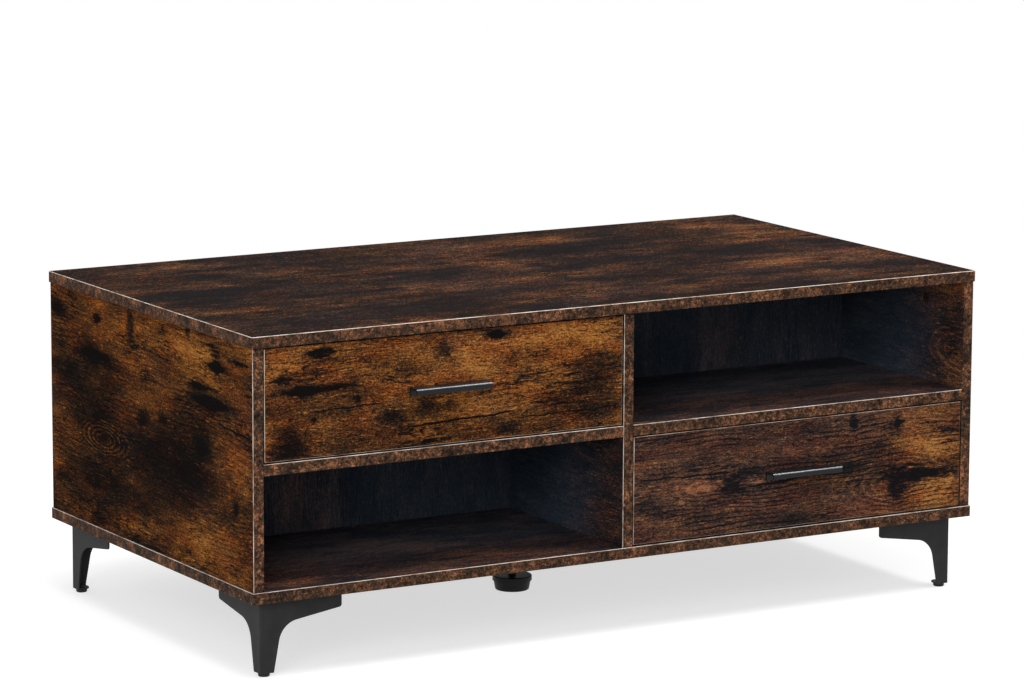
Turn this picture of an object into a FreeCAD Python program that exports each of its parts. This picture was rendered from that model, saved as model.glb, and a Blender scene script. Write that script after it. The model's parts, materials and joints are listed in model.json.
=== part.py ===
import FreeCAD, Part
import math
import os

# Coffee table on four bent-steel legs, with drawers and open bays on both long sides.
# Millimetres. X runs along the table, the front faces -Y, Z rises from the floor under the table's centre.

# Overall sizes
TABLE_LENGTH = 1100.0
TABLE_DEPTH = 600.0
BOX_HEIGHT = 340.0            # underside of the bottom panel to the table top
LEG_HEIGHT = 100.0            # floor to the underside of the bottom panel
BOARD = 15.0                  # carcass boards and drawer fronts
PANEL_OVERHANG = 1.5          # top and bottom panels past the body on every side

# Legs, each two arms and a column bent from one sheet, with a welded plate at both ends
LEG_SHEET = 2.0
LEG_INSET = 20.0              # outer faces from the panel edges
LEG_ARM = 116.0
ARM_TIP_DEPTH = 20.0
ARM_TIP_RADIUS = 4.0
ARM_KNEE_DEPTH = 33.0         # depth of the arm where it runs into the column
COLUMN_KNEE_WIDTH = 30.5
COLUMN_FOOT_WIDTH = 19.0
KNEE_RADIUS = 30.0
BEND_INSIDE_RADIUS = 1.0
PLATE_TIP_WIDTH = 24.0        # top plate at the ends of the arms
PLATE_CORNER_RADIUS = 4.0
FOOT_PLATE_CORNER_RADIUS = 8.0
LEG_HOLE_EDGE = 12.0          # hole at an arm's end, from the arm's outer face
LEG_HOLE_END = 18.0           # the same hole, from the arm's end
LEG_HOLE_CORNER = 30.0        # third hole, from both outer faces

# Push-in plastic glides under the legs
GLIDE_RADIUS = 7.5
GLIDE_HEIGHT = 5.0
GLIDE_EDGE = 1.0
GLIDE_STEM_RADIUS = 2.9
GLIDE_BARB_RADIUS = 3.8
GLIDE_BARB_HEIGHT = 2.4

# Adjustable support under the middle of the bottom panel
SUPPORT_FLANGE_RADIUS = 32.0
SUPPORT_FLANGE_THICKNESS = 4.0
SUPPORT_COLUMN_RADIUS = 15.0
SUPPORT_SCREW_CIRCLE_RADIUS = 24.0
SUPPORT_SCREW_COUNT = 3
FOOT_FLOOR_RADIUS = 23.25
FOOT_NECK_RADIUS = 25.5
FOOT_LIP_RADIUS = 27.0
FOOT_HEIGHT = 20.0
FOOT_LIP_HEIGHT = 7.0
FOOT_EDGE = 1.0
FOOT_THREAD_SHOWING = 6.0     # stem between the foot and the column
STEM_RADIUS = 5.0
STEM_ENGAGEMENT = 45.0        # stem inside the column

# Drawers
FRONT_GAP = 1.8               # round a drawer front
FRONT_RECESS = 1.0            # drawer front behind the body's edges
DRAWER_SIDE = 12.0            # drawer sides and back
DRAWER_BOTTOM = 3.0
DRAWER_HEADROOM = 34.5        # top of the drawer side to the board above it
DRAWER_REAR_ROOM = 25.0       # rear of the drawer to the middle board
GROOVE_DEPTH = 4.0
GROOVE_RISE = 10.0            # groove above the lower edge of the drawer side

# Handles, an extruded finger pull screwed on from inside the drawer
HANDLE_LENGTH = 110.0
HANDLE_REACH = 20.0
HANDLE_WALL = 2.0
HANDLE_LIP_HEIGHT = 8.0
HANDLE_FLANGE_HEIGHT = 12.0
HANDLE_FLANGE_WALL = 3.0
HANDLE_NOSE_RADIUS = 3.0
HANDLE_EDGE_RADIUS = 0.6
HANDLE_SCREW_PITCH = 64.0

# Roller runners: a channel on the cabinet with a front roller, a Z section on the drawer with a rear roller
RUNNER_SHEET = 1.2
RUNNER_SPACE = 12.5           # cabinet wall to drawer side
RUNNER_RISE = 10.0            # channel above the floor of its bay
RUNNER_SETBACK = 2.5          # channel behind the drawer front
RUNNER_MOUTH = 30.0           # front of the channel with no top flange, where the drawer lifts out
RUNNER_SIDE_CLEARANCE = 0.5
RUNNER_HEADROOM = 1.8         # running flange to the channel's top flange
FOOT_FLANGE_RISE = 1.8        # flange under the drawer side, above the channel's underside
ROLLER_RADIUS = 10.0
ROLLER_EDGE = 0.8
ROLLER_INSET = 12.0           # roller axis from the end of its runner
ROLLER_SIDE_ROOM = 1.25       # roller to the steel on either side
ROLLER_RUNNING_GAP = 0.3
PIN_RADIUS = 2.5
PIN_COLLAR_RADIUS = 3.6
PIN_COLLAR = 1.0
PIN_HEAD = 0.6
PIN_END_PLAY = 0.25
PIN_CLEARANCE = 0.1
RUNNER_SCREW_FRONT = 45.0     # screws from the channel's front and rear ends
RUNNER_SCREW_REAR = 60.0

# Fasteners
CAM_RADIUS = 7.4
CAM_SKIN = 2.5                # wood left behind a cam's bore
CAM_REACH = 34.0              # cam axis from the joint
CAM_SLOT_LENGTH = 8.0
CAM_SLOT_WIDTH = 1.6
CAM_SLOT_DEPTH = 2.0
CAM_RECESS = 0.3
CAM_EDGE = 90.0               # joint from the front or back edge of the board
BOLT_RADIUS = 3.0
BOLT_BITE = 10.0
DOWEL_RADIUS = 4.0
DOWEL_IN_FACE = 9.0
DOWEL_IN_EDGE = 20.0
SHELF_DOWEL_EDGE = 60.0       # dowel from the shelf's inner edge
SHELF_STAGGER = 30.0          # joints of the two shelves that share the divider
MIDDLE_DOWEL_RISE = 70.0      # dowels of a middle board, from its lower and upper edges
SCREW_RADIUS = 2.0
SCREW_HEAD_RADIUS = 4.0
SCREW_HEAD_HEIGHT = 2.2
SCREW_BITE = 11.0
COUNTERSINK_RADIUS = 3.6
FRAME_SCREW_RADIUS = 2.5
FRAME_SCREW_HEAD_RADIUS = 4.5
FRAME_SCREW_HEAD_HEIGHT = 3.5
FRAME_SCREW_BITE = 35.0
BACK_SCREW_BITE = 18.0
FIT_CLEARANCE = 0.1           # holes round fasteners, and the groove round the drawer bottom

# Levels and faces that follow from the sizes
FLOOR_Z = LEG_HEIGHT + BOARD                     # top face of the bottom panel
TOP_Z = LEG_HEIGHT + BOX_HEIGHT
CEILING_Z = TOP_Z - BOARD                        # underside of the top panel
SHELF_Z = (FLOOR_Z + CEILING_Z - BOARD) / 2
SHELF_TOP_Z = SHELF_Z + BOARD
BAY_HEIGHT = SHELF_Z - FLOOR_Z
BODY_X = TABLE_LENGTH / 2 - PANEL_OVERHANG       # outer face of a side panel
BODY_Y = TABLE_DEPTH / 2 - PANEL_OVERHANG        # front and back edges of the body
WALL_X = BODY_X - BOARD                          # inner face of a side panel
BAY_WIDTH = WALL_X - BOARD / 2
BAY_X = (WALL_X + BOARD / 2) / 2                 # middle of a bay

# Runner section, from the cabinet wall and from the channel's underside
ROLLER_AXIS_Z = RUNNER_SHEET + ROLLER_RUNNING_GAP + ROLLER_RADIUS
RUNNING_FLANGE_Z = ROLLER_AXIS_Z + ROLLER_RADIUS + ROLLER_RUNNING_GAP
CHANNEL_HEIGHT = RUNNING_FLANGE_Z + RUNNER_SHEET + RUNNER_HEADROOM + RUNNER_SHEET
DRAWER_PLATE_W = RUNNER_SPACE - RUNNER_SHEET
CHANNEL_WIDTH = DRAWER_PLATE_W - RUNNER_SIDE_CLEARANCE
ROLLER_W = RUNNER_SHEET + ROLLER_SIDE_ROOM
ROLLER_WIDTH = DRAWER_PLATE_W - ROLLER_SIDE_ROOM - ROLLER_W

# Drawer, across from the middle of its bay and up from the bay's floor
FRONT_Y = -BODY_Y + FRONT_RECESS
BOX_FRONT_Y = FRONT_Y + BOARD
BOX_REAR_Y = -BOARD / 2 - DRAWER_REAR_ROOM
CHANNEL_FRONT_Y = BOX_FRONT_Y + RUNNER_SETBACK
BOX_HALF = BAY_WIDTH / 2 - RUNNER_SPACE
BOX_INNER_HALF = BOX_HALF - DRAWER_SIDE
SIDE_BOTTOM = RUNNER_RISE + FOOT_FLANGE_RISE + RUNNER_SHEET
SIDE_TOP = BAY_HEIGHT - DRAWER_HEADROOM
SIDE_MIDDLE = (SIDE_BOTTOM + SIDE_TOP) / 2
BOTTOM_Z = SIDE_BOTTOM + GROOVE_RISE

ORIGIN = FreeCAD.Vector(0, 0, 0)
X_AXIS = FreeCAD.Vector(1, 0, 0)
UP = FreeCAD.Vector(0, 0, 1)
DOWN = FreeCAD.Vector(0, 0, -1)
FULL_TURN = 360
QUARTER_TURN = 90
HALF_TURN = {"front": 0, "back": 180}
SIDES = (("left", -1), ("right", 1))

solids = {}
cuts = {}


def add(node, shape):
    solids.setdefault(node, []).append(shape)


def cut(node, tool):
    cuts.setdefault(node, []).append(tool)


def vec(x, y, z):
    return FreeCAD.Vector(x, y, z)


def box(low, high):
    """Block between two corners, given in any order."""
    start = [min(a, b) for a, b in zip(low, high)]
    size = [abs(a - b) for a, b in zip(low, high)]
    return Part.makeBox(*size, vec(*start))


def rounded_face(corners):
    """Face in the XY plane from (x, y, radius) corners, sharp where the radius is 0."""
    places = [vec(x, y, 0) for x, y, radius in corners]
    joints = []
    for i, (x, y, radius) in enumerate(corners):
        here = places[i]
        back = (places[i - 1] - here).normalize()
        ahead = (places[(i + 1) % len(places)] - here).normalize()
        half_angle = back.getAngle(ahead) / 2
        reach = radius / math.tan(half_angle)
        crown = here + (back + ahead).normalize() * (radius / math.sin(half_angle) - radius)
        joints.append((here + back * reach, crown, here + ahead * reach, radius))
    edges = []
    for i, (start, crown, end, radius) in enumerate(joints):
        edges.append(Part.LineSegment(joints[i - 1][2], start).toShape())
        if radius:
            edges.append(Part.Arc(start, crown, end).toShape())
    return Part.Face(Part.Wire(edges))


def extruded_along_y(face, length):
    """Stands an XY face up in the XZ plane and extrudes it towards +Y."""
    return face.extrude(vec(0, 0, -length)).rotated(ORIGIN, X_AXIS, QUARTER_TURN)


def turned_profile(points):
    """Solid of revolution about Z from (radius, height) points."""
    ring = [vec(radius, 0, height) for radius, height in points]
    return Part.Face(Part.makePolygon(ring + ring[:1])).revolve(ORIGIN, UP, FULL_TURN)


def along(shape, point, direction):
    """Moves a shape made along +Z to a point, with its +Z along the direction."""
    placed = shape.copy()
    placed.Placement = FreeCAD.Placement(vec(*point), FreeCAD.Rotation(UP, vec(*direction)))
    return placed


def rod(radius, length, point, direction):
    return along(Part.makeCylinder(radius, length), point, direction)


def stepped_back(point, direction, distance):
    return tuple(p - d * distance for p, d in zip(point, direction))


def pan_screw(fasteners, holed, point, direction, length):
    """Pan-head screw whose head bears on the point, with its hole in each node it passes."""
    head = Part.makeCylinder(SCREW_HEAD_RADIUS, SCREW_HEAD_HEIGHT, vec(0, 0, -SCREW_HEAD_HEIGHT))
    shank = Part.makeCylinder(SCREW_RADIUS, length)
    fasteners.append(along(head.fuse(shank).removeSplitter(), point, direction))
    for pieces in holed:
        pieces.append(rod(SCREW_RADIUS + FIT_CLEARANCE, length + FIT_CLEARANCE, point, direction))


def countersunk_profile(length, grow):
    """Countersunk screw, or the hole round it where it grows."""
    head = COUNTERSINK_RADIUS + grow
    shank = SCREW_RADIUS + grow
    return turned_profile([(0, 0), (head, 0), (shank, head - shank), (shank, length + grow), (0, length + grow)])


def countersunk_screw(fasteners, holed, point, direction, length):
    fasteners.append(along(countersunk_profile(length, 0), point, direction))
    for pieces in holed:
        pieces.append(along(countersunk_profile(length, FIT_CLEARANCE), point, direction))


def cam_joint(locks, bolts, board_cuts, face_cuts, point, into, opening, thickness):
    """Cam lock in the face of a board, drawing a bolt in another board's face into the first one's edge.

    The point lies in the middle of the edge, into runs from the edge into the board, and opening is
    the outward normal of the face that holds the cam.
    """
    bolt_start = stepped_back(point, into, BOLT_BITE)
    bolts.append(rod(BOLT_RADIUS, BOLT_BITE + CAM_REACH, bolt_start, into))
    bolt_hole_radius = BOLT_RADIUS + FIT_CLEARANCE
    face_cuts.append(rod(bolt_hole_radius, BOLT_BITE + FIT_CLEARANCE, point, tuple(-d for d in into)))
    board_cuts.append(rod(bolt_hole_radius, CAM_REACH, point, into))
    axis_point = stepped_back(point, into, -CAM_REACH)
    inward = tuple(-d for d in opening)
    mouth = stepped_back(axis_point, inward, thickness / 2)
    bore_depth = thickness - CAM_SKIN
    board_cuts.append(rod(CAM_RADIUS + FIT_CLEARANCE, bore_depth, mouth, inward))
    lock = Part.makeCylinder(CAM_RADIUS, bore_depth - CAM_RECESS)
    half_length = CAM_SLOT_LENGTH / 2
    half_width = CAM_SLOT_WIDTH / 2
    lock = lock.cut([box((-half_length, -half_width, 0), (half_length, half_width, CAM_SLOT_DEPTH)),
                     box((-half_width, -half_length, 0), (half_width, half_length, CAM_SLOT_DEPTH))])
    lock = along(lock, stepped_back(mouth, inward, -CAM_RECESS), inward)
    socket_length = CAM_RADIUS + BOLT_RADIUS
    socket_start = stepped_back(axis_point, into, CAM_RADIUS)
    locks.append(lock.cut(rod(bolt_hole_radius, socket_length, socket_start, into)))


def dowel_joint(board, face, point, into):
    """Dowel from the face of one board into the edge of another."""
    length = DOWEL_IN_FACE + DOWEL_IN_EDGE
    add("dowels", rod(DOWEL_RADIUS, length, stepped_back(point, into, DOWEL_IN_FACE), into))
    hole_start = stepped_back(point, into, DOWEL_IN_FACE + FIT_CLEARANCE)
    hole = rod(DOWEL_RADIUS + FIT_CLEARANCE, length + 2 * FIT_CLEARANCE, hole_start, into)
    cut(board, hole)
    cut(face, hole)


def listed(node, store):
    return store.setdefault(node, [])


def carcass_cam(board, face, point, into, opening):
    cam_joint(listed("cam_locks", solids), listed("cam_bolts", solids),
              listed(board, cuts), listed(face, cuts), point, into, opening, BOARD)


def frame_screw(board, x, y):
    """Screw up through the bottom panel into the lower edge of a board, its head flush below."""
    head = Part.makeCylinder(FRAME_SCREW_HEAD_RADIUS, FRAME_SCREW_HEAD_HEIGHT)
    shank = Part.makeCylinder(FRAME_SCREW_RADIUS, BOARD + FRAME_SCREW_BITE)
    place = vec(x, y, LEG_HEIGHT)
    add("frame_screws", head.fuse(shank).removeSplitter().translated(place))
    bore = Part.makeCylinder(FRAME_SCREW_HEAD_RADIUS + FIT_CLEARANCE, FRAME_SCREW_HEAD_HEIGHT + FIT_CLEARANCE)
    hole = Part.makeCylinder(FRAME_SCREW_RADIUS + FIT_CLEARANCE, BOARD + FRAME_SCREW_BITE + FIT_CLEARANCE)
    cut("bottom_panel", bore.fuse(hole).translated(place))
    cut(board, hole.translated(place))


def make_carcass():
    edge = TABLE_DEPTH / 2
    end = TABLE_LENGTH / 2
    add("bottom_panel", box((-end, -edge, LEG_HEIGHT), (end, edge, FLOOR_Z)))
    add("top_panel", box((-end, -edge, CEILING_Z), (end, edge, TOP_Z)))
    uprights = {"left_side_panel": -WALL_X - BOARD / 2, "centre_divider": 0, "right_side_panel": WALL_X + BOARD / 2}
    for name, x in uprights.items():
        add(name, box((x - BOARD / 2, -BODY_Y, FLOOR_Z), (x + BOARD / 2, BODY_Y, CEILING_Z)))
        dowel_joint(name, "top_panel", (x, 0, CEILING_Z), (0, 0, -1))
        for facing in (-1, 1):
            y = facing * (BODY_Y - CAM_EDGE)
            inward = 1 if x < 0 else -1
            # the divider's cams open into the drawer bays, on the left in front and on the right behind
            opening = inward if x else facing
            carcass_cam(name, "top_panel", (x, y, CEILING_Z), (0, 0, -1), (opening, 0, 0))
            frame_screw(name, x, y)
    for side, sign in SIDES:
        make_half(side, sign)


def make_half(side, sign):
    """Middle board and two shelves between a side panel and the divider."""
    wall_node = side + "_side_panel"
    middle_node = side + "_middle_board"
    inner_x = sign * BOARD / 2
    outer_x = sign * WALL_X
    add(middle_node, box((inner_x, -BOARD / 2, FLOOR_Z), (outer_x, BOARD / 2, CEILING_Z)))
    frame_screw(middle_node, sign * BAY_X, 0)
    # dowels of the two middle boards lie at different heights in the divider
    rise = MIDDLE_DOWEL_RISE if sign < 0 else CEILING_Z - FLOOR_Z - MIDDLE_DOWEL_RISE
    dowel_joint(middle_node, "centre_divider", (inner_x, 0, FLOOR_Z + rise), (sign, 0, 0))
    dowel_joint(middle_node, wall_node, (outer_x, 0, FLOOR_Z + rise), (-sign, 0, 0))
    stagger = 0 if sign < 0 else SHELF_STAGGER
    for half, facing in (("front", -1), ("back", 1)):
        shelf_node = half + "_" + side + "_shelf"
        add(shelf_node, box((inner_x, facing * BOARD / 2, SHELF_Z), (outer_x, facing * BODY_Y, SHELF_TOP_Z)))
        cam_y = facing * (BODY_Y - CAM_EDGE - stagger)
        dowel_y = facing * (BOARD / 2 + SHELF_DOWEL_EDGE + stagger)
        middle_z = SHELF_Z + BOARD / 2
        for x, face, into in ((inner_x, "centre_divider", sign), (outer_x, wall_node, -sign)):
            carcass_cam(shelf_node, face, (x, cam_y, middle_z), (into, 0, 0), (0, 0, -1))
            dowel_joint(shelf_node, face, (x, dowel_y, middle_z), (into, 0, 0))


def vertical_edges_at(shape, x, y):
    """Edges that stand on one point of the XY plane."""
    tolerance = 1e-6
    return [edge for edge in shape.Edges
            if all(abs(v.X - x) < tolerance and abs(v.Y - y) < tolerance for v in edge.Vertexes)]


def leg_shape():
    """Leg with its outer corner at the origin, its arms along +X and +Y, below the XY plane."""
    metal_height = LEG_HEIGHT - GLIDE_HEIGHT
    flange = rounded_face([
        (0, 0, 0),
        (LEG_ARM, 0, 0),
        (LEG_ARM, -ARM_TIP_DEPTH, ARM_TIP_RADIUS),
        (COLUMN_KNEE_WIDTH, -ARM_KNEE_DEPTH, KNEE_RADIUS),
        (COLUMN_FOOT_WIDTH, -metal_height, 0),
        (0, -metal_height, 0),
    ])
    front = extruded_along_y(flange, LEG_SHEET)
    side = front.mirror(ORIGIN, vec(1, -1, 0))
    top = rounded_face([
        (0, 0, 0),
        (LEG_ARM, 0, 0),
        (LEG_ARM, PLATE_TIP_WIDTH, PLATE_CORNER_RADIUS),
        (PLATE_TIP_WIDTH, LEG_ARM, PLATE_CORNER_RADIUS),
        (0, LEG_ARM, 0),
    ]).extrude(vec(0, 0, -LEG_SHEET))
    foot = rounded_face([
        (0, 0, 0),
        (COLUMN_FOOT_WIDTH, 0, 0),
        (COLUMN_FOOT_WIDTH, COLUMN_FOOT_WIDTH, FOOT_PLATE_CORNER_RADIUS),
        (0, COLUMN_FOOT_WIDTH, 0),
    ]).extrude(vec(0, 0, LEG_SHEET)).translated(vec(0, 0, -metal_height))
    leg = front.fuse([side, top, foot]).removeSplitter()
    leg = leg.makeFillet(BEND_INSIDE_RADIUS + LEG_SHEET, vertical_edges_at(leg, 0, 0))
    leg = leg.makeFillet(BEND_INSIDE_RADIUS, vertical_edges_at(leg, LEG_SHEET, LEG_SHEET))
    glide_place = (COLUMN_FOOT_WIDTH / 2, COLUMN_FOOT_WIDTH / 2, -metal_height)
    return leg.cut(rod(GLIDE_STEM_RADIUS + FIT_CLEARANCE, LEG_SHEET, glide_place, UP))


def leg_screw_places():
    far = LEG_ARM - LEG_HOLE_END
    return ((far, LEG_HOLE_EDGE), (LEG_HOLE_EDGE, far), (LEG_HOLE_CORNER, LEG_HOLE_CORNER))


def glide_shape():
    """Glide standing on the XY plane, its barbed stem through the leg's foot plate."""
    plate_top = GLIDE_HEIGHT + LEG_SHEET + FIT_CLEARANCE
    barb_top = plate_top + GLIDE_BARB_HEIGHT
    return turned_profile([
        (0, 0),
        (GLIDE_RADIUS - GLIDE_EDGE, 0),
        (GLIDE_RADIUS, GLIDE_EDGE),
        (GLIDE_RADIUS, GLIDE_HEIGHT),
        (GLIDE_STEM_RADIUS, GLIDE_HEIGHT),
        (GLIDE_STEM_RADIUS, plate_top),
        (GLIDE_BARB_RADIUS, plate_top),
        (GLIDE_STEM_RADIUS, barb_top),
        (0, barb_top),
    ])


def make_legs():
    corner_x = TABLE_LENGTH / 2 - LEG_INSET
    corner_y = TABLE_DEPTH / 2 - LEG_INSET
    glide_inset = COLUMN_FOOT_WIDTH / 2
    corners = (("front_left", -1, -1), ("front_right", 1, -1), ("back_right", 1, 1), ("back_left", -1, 1))
    for quarter, (name, x_sign, y_sign) in enumerate(corners):
        node = name + "_leg"
        turn = quarter * QUARTER_TURN
        place = vec(x_sign * corner_x, y_sign * corner_y, LEG_HEIGHT)
        add(node, leg_shape().rotated(ORIGIN, UP, turn).translated(place))
        for u, v in leg_screw_places():
            point = FreeCAD.Rotation(UP, turn).multVec(vec(u, v, -LEG_SHEET)) + place
            pan_screw(listed("panel_screws", solids), [listed(node, cuts), listed("bottom_panel", cuts)],
                      tuple(point), UP, LEG_SHEET + SCREW_BITE)
        add("leg_glides", glide_shape().translated(
            vec(x_sign * (corner_x - glide_inset), y_sign * (corner_y - glide_inset), 0)))


def make_support():
    column_bottom = FOOT_HEIGHT + FOOT_THREAD_SHOWING
    flange_bottom = LEG_HEIGHT - SUPPORT_FLANGE_THICKNESS
    stem_top = column_bottom + STEM_ENGAGEMENT
    bore_radius = STEM_RADIUS + PIN_CLEARANCE
    add("support_leg", turned_profile([
        (bore_radius, column_bottom),
        (SUPPORT_COLUMN_RADIUS, column_bottom),
        (SUPPORT_COLUMN_RADIUS, flange_bottom),
        (SUPPORT_FLANGE_RADIUS, flange_bottom),
        (SUPPORT_FLANGE_RADIUS, LEG_HEIGHT),
        (bore_radius, LEG_HEIGHT),
    ]))
    lip_bottom = FOOT_HEIGHT - FOOT_LIP_HEIGHT
    add("support_foot", turned_profile([
        (0, 0),
        (FOOT_FLOOR_RADIUS - FOOT_EDGE, 0),
        (FOOT_FLOOR_RADIUS, FOOT_EDGE),
        (FOOT_NECK_RADIUS, lip_bottom),
        (FOOT_LIP_RADIUS, lip_bottom),
        (FOOT_LIP_RADIUS, FOOT_HEIGHT - FOOT_EDGE),
        (FOOT_LIP_RADIUS - FOOT_EDGE, FOOT_HEIGHT),
        (STEM_RADIUS, FOOT_HEIGHT),
        (STEM_RADIUS, stem_top),
        (0, stem_top),
    ]))
    for i in range(SUPPORT_SCREW_COUNT):
        angle = 2 * math.pi * i / SUPPORT_SCREW_COUNT + math.pi / 2
        point = (SUPPORT_SCREW_CIRCLE_RADIUS * math.cos(angle),
                 SUPPORT_SCREW_CIRCLE_RADIUS * math.sin(angle), flange_bottom)
        pan_screw(listed("panel_screws", solids), [listed("support_leg", cuts), listed("bottom_panel", cuts)],
                  point, UP, SUPPORT_FLANGE_THICKNESS + SCREW_BITE)


def pin_shape():
    """Riveted roller pin along +Z from the steel that carries it."""
    roller_end = ROLLER_SIDE_ROOM + ROLLER_WIDTH + PIN_END_PLAY
    return turned_profile([
        (0, 0),
        (PIN_COLLAR_RADIUS, 0),
        (PIN_COLLAR_RADIUS, PIN_COLLAR),
        (PIN_RADIUS, PIN_COLLAR),
        (PIN_RADIUS, roller_end),
        (PIN_COLLAR_RADIUS, roller_end),
        (PIN_COLLAR_RADIUS, roller_end + PIN_HEAD),
        (0, roller_end + PIN_HEAD),
    ])


def roller_shape():
    bore = PIN_RADIUS + PIN_CLEARANCE
    return turned_profile([
        (bore, 0),
        (ROLLER_RADIUS - ROLLER_EDGE, 0),
        (ROLLER_RADIUS, ROLLER_EDGE),
        (ROLLER_RADIUS, ROLLER_WIDTH - ROLLER_EDGE),
        (ROLLER_RADIUS - ROLLER_EDGE, ROLLER_WIDTH),
        (bore, ROLLER_WIDTH),
    ])


def cabinet_runner_shape():
    """Channel on a wall in the plane X = 0, its front end at Y = 0 and its underside at Z = 0."""
    inner_top = CHANNEL_HEIGHT - RUNNER_SHEET
    length = BOX_REAR_Y - CHANNEL_FRONT_Y
    channel = extruded_along_y(rounded_face([
        (0, 0, 0),
        (CHANNEL_WIDTH, 0, 0),
        (CHANNEL_WIDTH, RUNNER_SHEET, 0),
        (RUNNER_SHEET, RUNNER_SHEET, 0),
        (RUNNER_SHEET, inner_top, 0),
        (CHANNEL_WIDTH, inner_top, 0),
        (CHANNEL_WIDTH, CHANNEL_HEIGHT, 0),
        (0, CHANNEL_HEIGHT, 0),
    ]), length)
    mouth = box((RUNNER_SHEET, 0, inner_top), (CHANNEL_WIDTH, RUNNER_MOUTH, CHANNEL_HEIGHT))
    pin = along(pin_shape(), (RUNNER_SHEET, ROLLER_INSET, ROLLER_AXIS_Z), X_AXIS)
    return channel.cut(mouth).fuse(pin).removeSplitter()


def drawer_runner_shape():
    """Z section under a drawer side, in the same frame, its front end against the drawer front."""
    flange_end = RUNNER_SPACE + DRAWER_SIDE
    foot_top = FOOT_FLANGE_RISE + RUNNER_SHEET
    run_top = RUNNING_FLANGE_Z + RUNNER_SHEET
    run_start = RUNNER_SHEET + RUNNER_SIDE_CLEARANCE
    length = BOX_REAR_Y - BOX_FRONT_Y
    section = extruded_along_y(rounded_face([
        (DRAWER_PLATE_W, FOOT_FLANGE_RISE, 0),
        (flange_end, FOOT_FLANGE_RISE, 0),
        (flange_end, foot_top, 0),
        (RUNNER_SPACE, foot_top, 0),
        (RUNNER_SPACE, run_top, 0),
        (run_start, run_top, 0),
        (run_start, RUNNING_FLANGE_Z, 0),
        (DRAWER_PLATE_W, RUNNING_FLANGE_Z, 0),
    ]), length).translated(vec(0, -RUNNER_SETBACK, 0))
    pin_y = BOX_REAR_Y - CHANNEL_FRONT_Y - ROLLER_INSET
    pin = along(pin_shape(), (DRAWER_PLATE_W, pin_y, ROLLER_AXIS_Z), (-1, 0, 0))
    return section.fuse(pin).removeSplitter()


def handle_shape():
    """Finger pull on the plane Y = 0, its mounting flange centred on the origin."""
    top = HANDLE_FLANGE_HEIGHT / 2
    lip_bottom = top - HANDLE_LIP_HEIGHT
    plate_bottom = top - HANDLE_WALL
    lip_back = HANDLE_REACH - HANDLE_WALL
    section = rounded_face([
        (0, top, 0),
        (HANDLE_REACH, top, HANDLE_NOSE_RADIUS),
        (HANDLE_REACH, lip_bottom, HANDLE_EDGE_RADIUS),
        (lip_back, lip_bottom, HANDLE_EDGE_RADIUS),
        (lip_back, plate_bottom, HANDLE_EDGE_RADIUS),
        (HANDLE_FLANGE_WALL, plate_bottom, HANDLE_EDGE_RADIUS),
        (HANDLE_FLANGE_WALL, -top, HANDLE_EDGE_RADIUS),
        (0, -top, 0),
    ])
    bar = extruded_along_y(section, HANDLE_LENGTH).rotated(ORIGIN, UP, -QUARTER_TURN)
    return bar.translated(vec(-HANDLE_LENGTH / 2, 0, 0))


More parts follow.
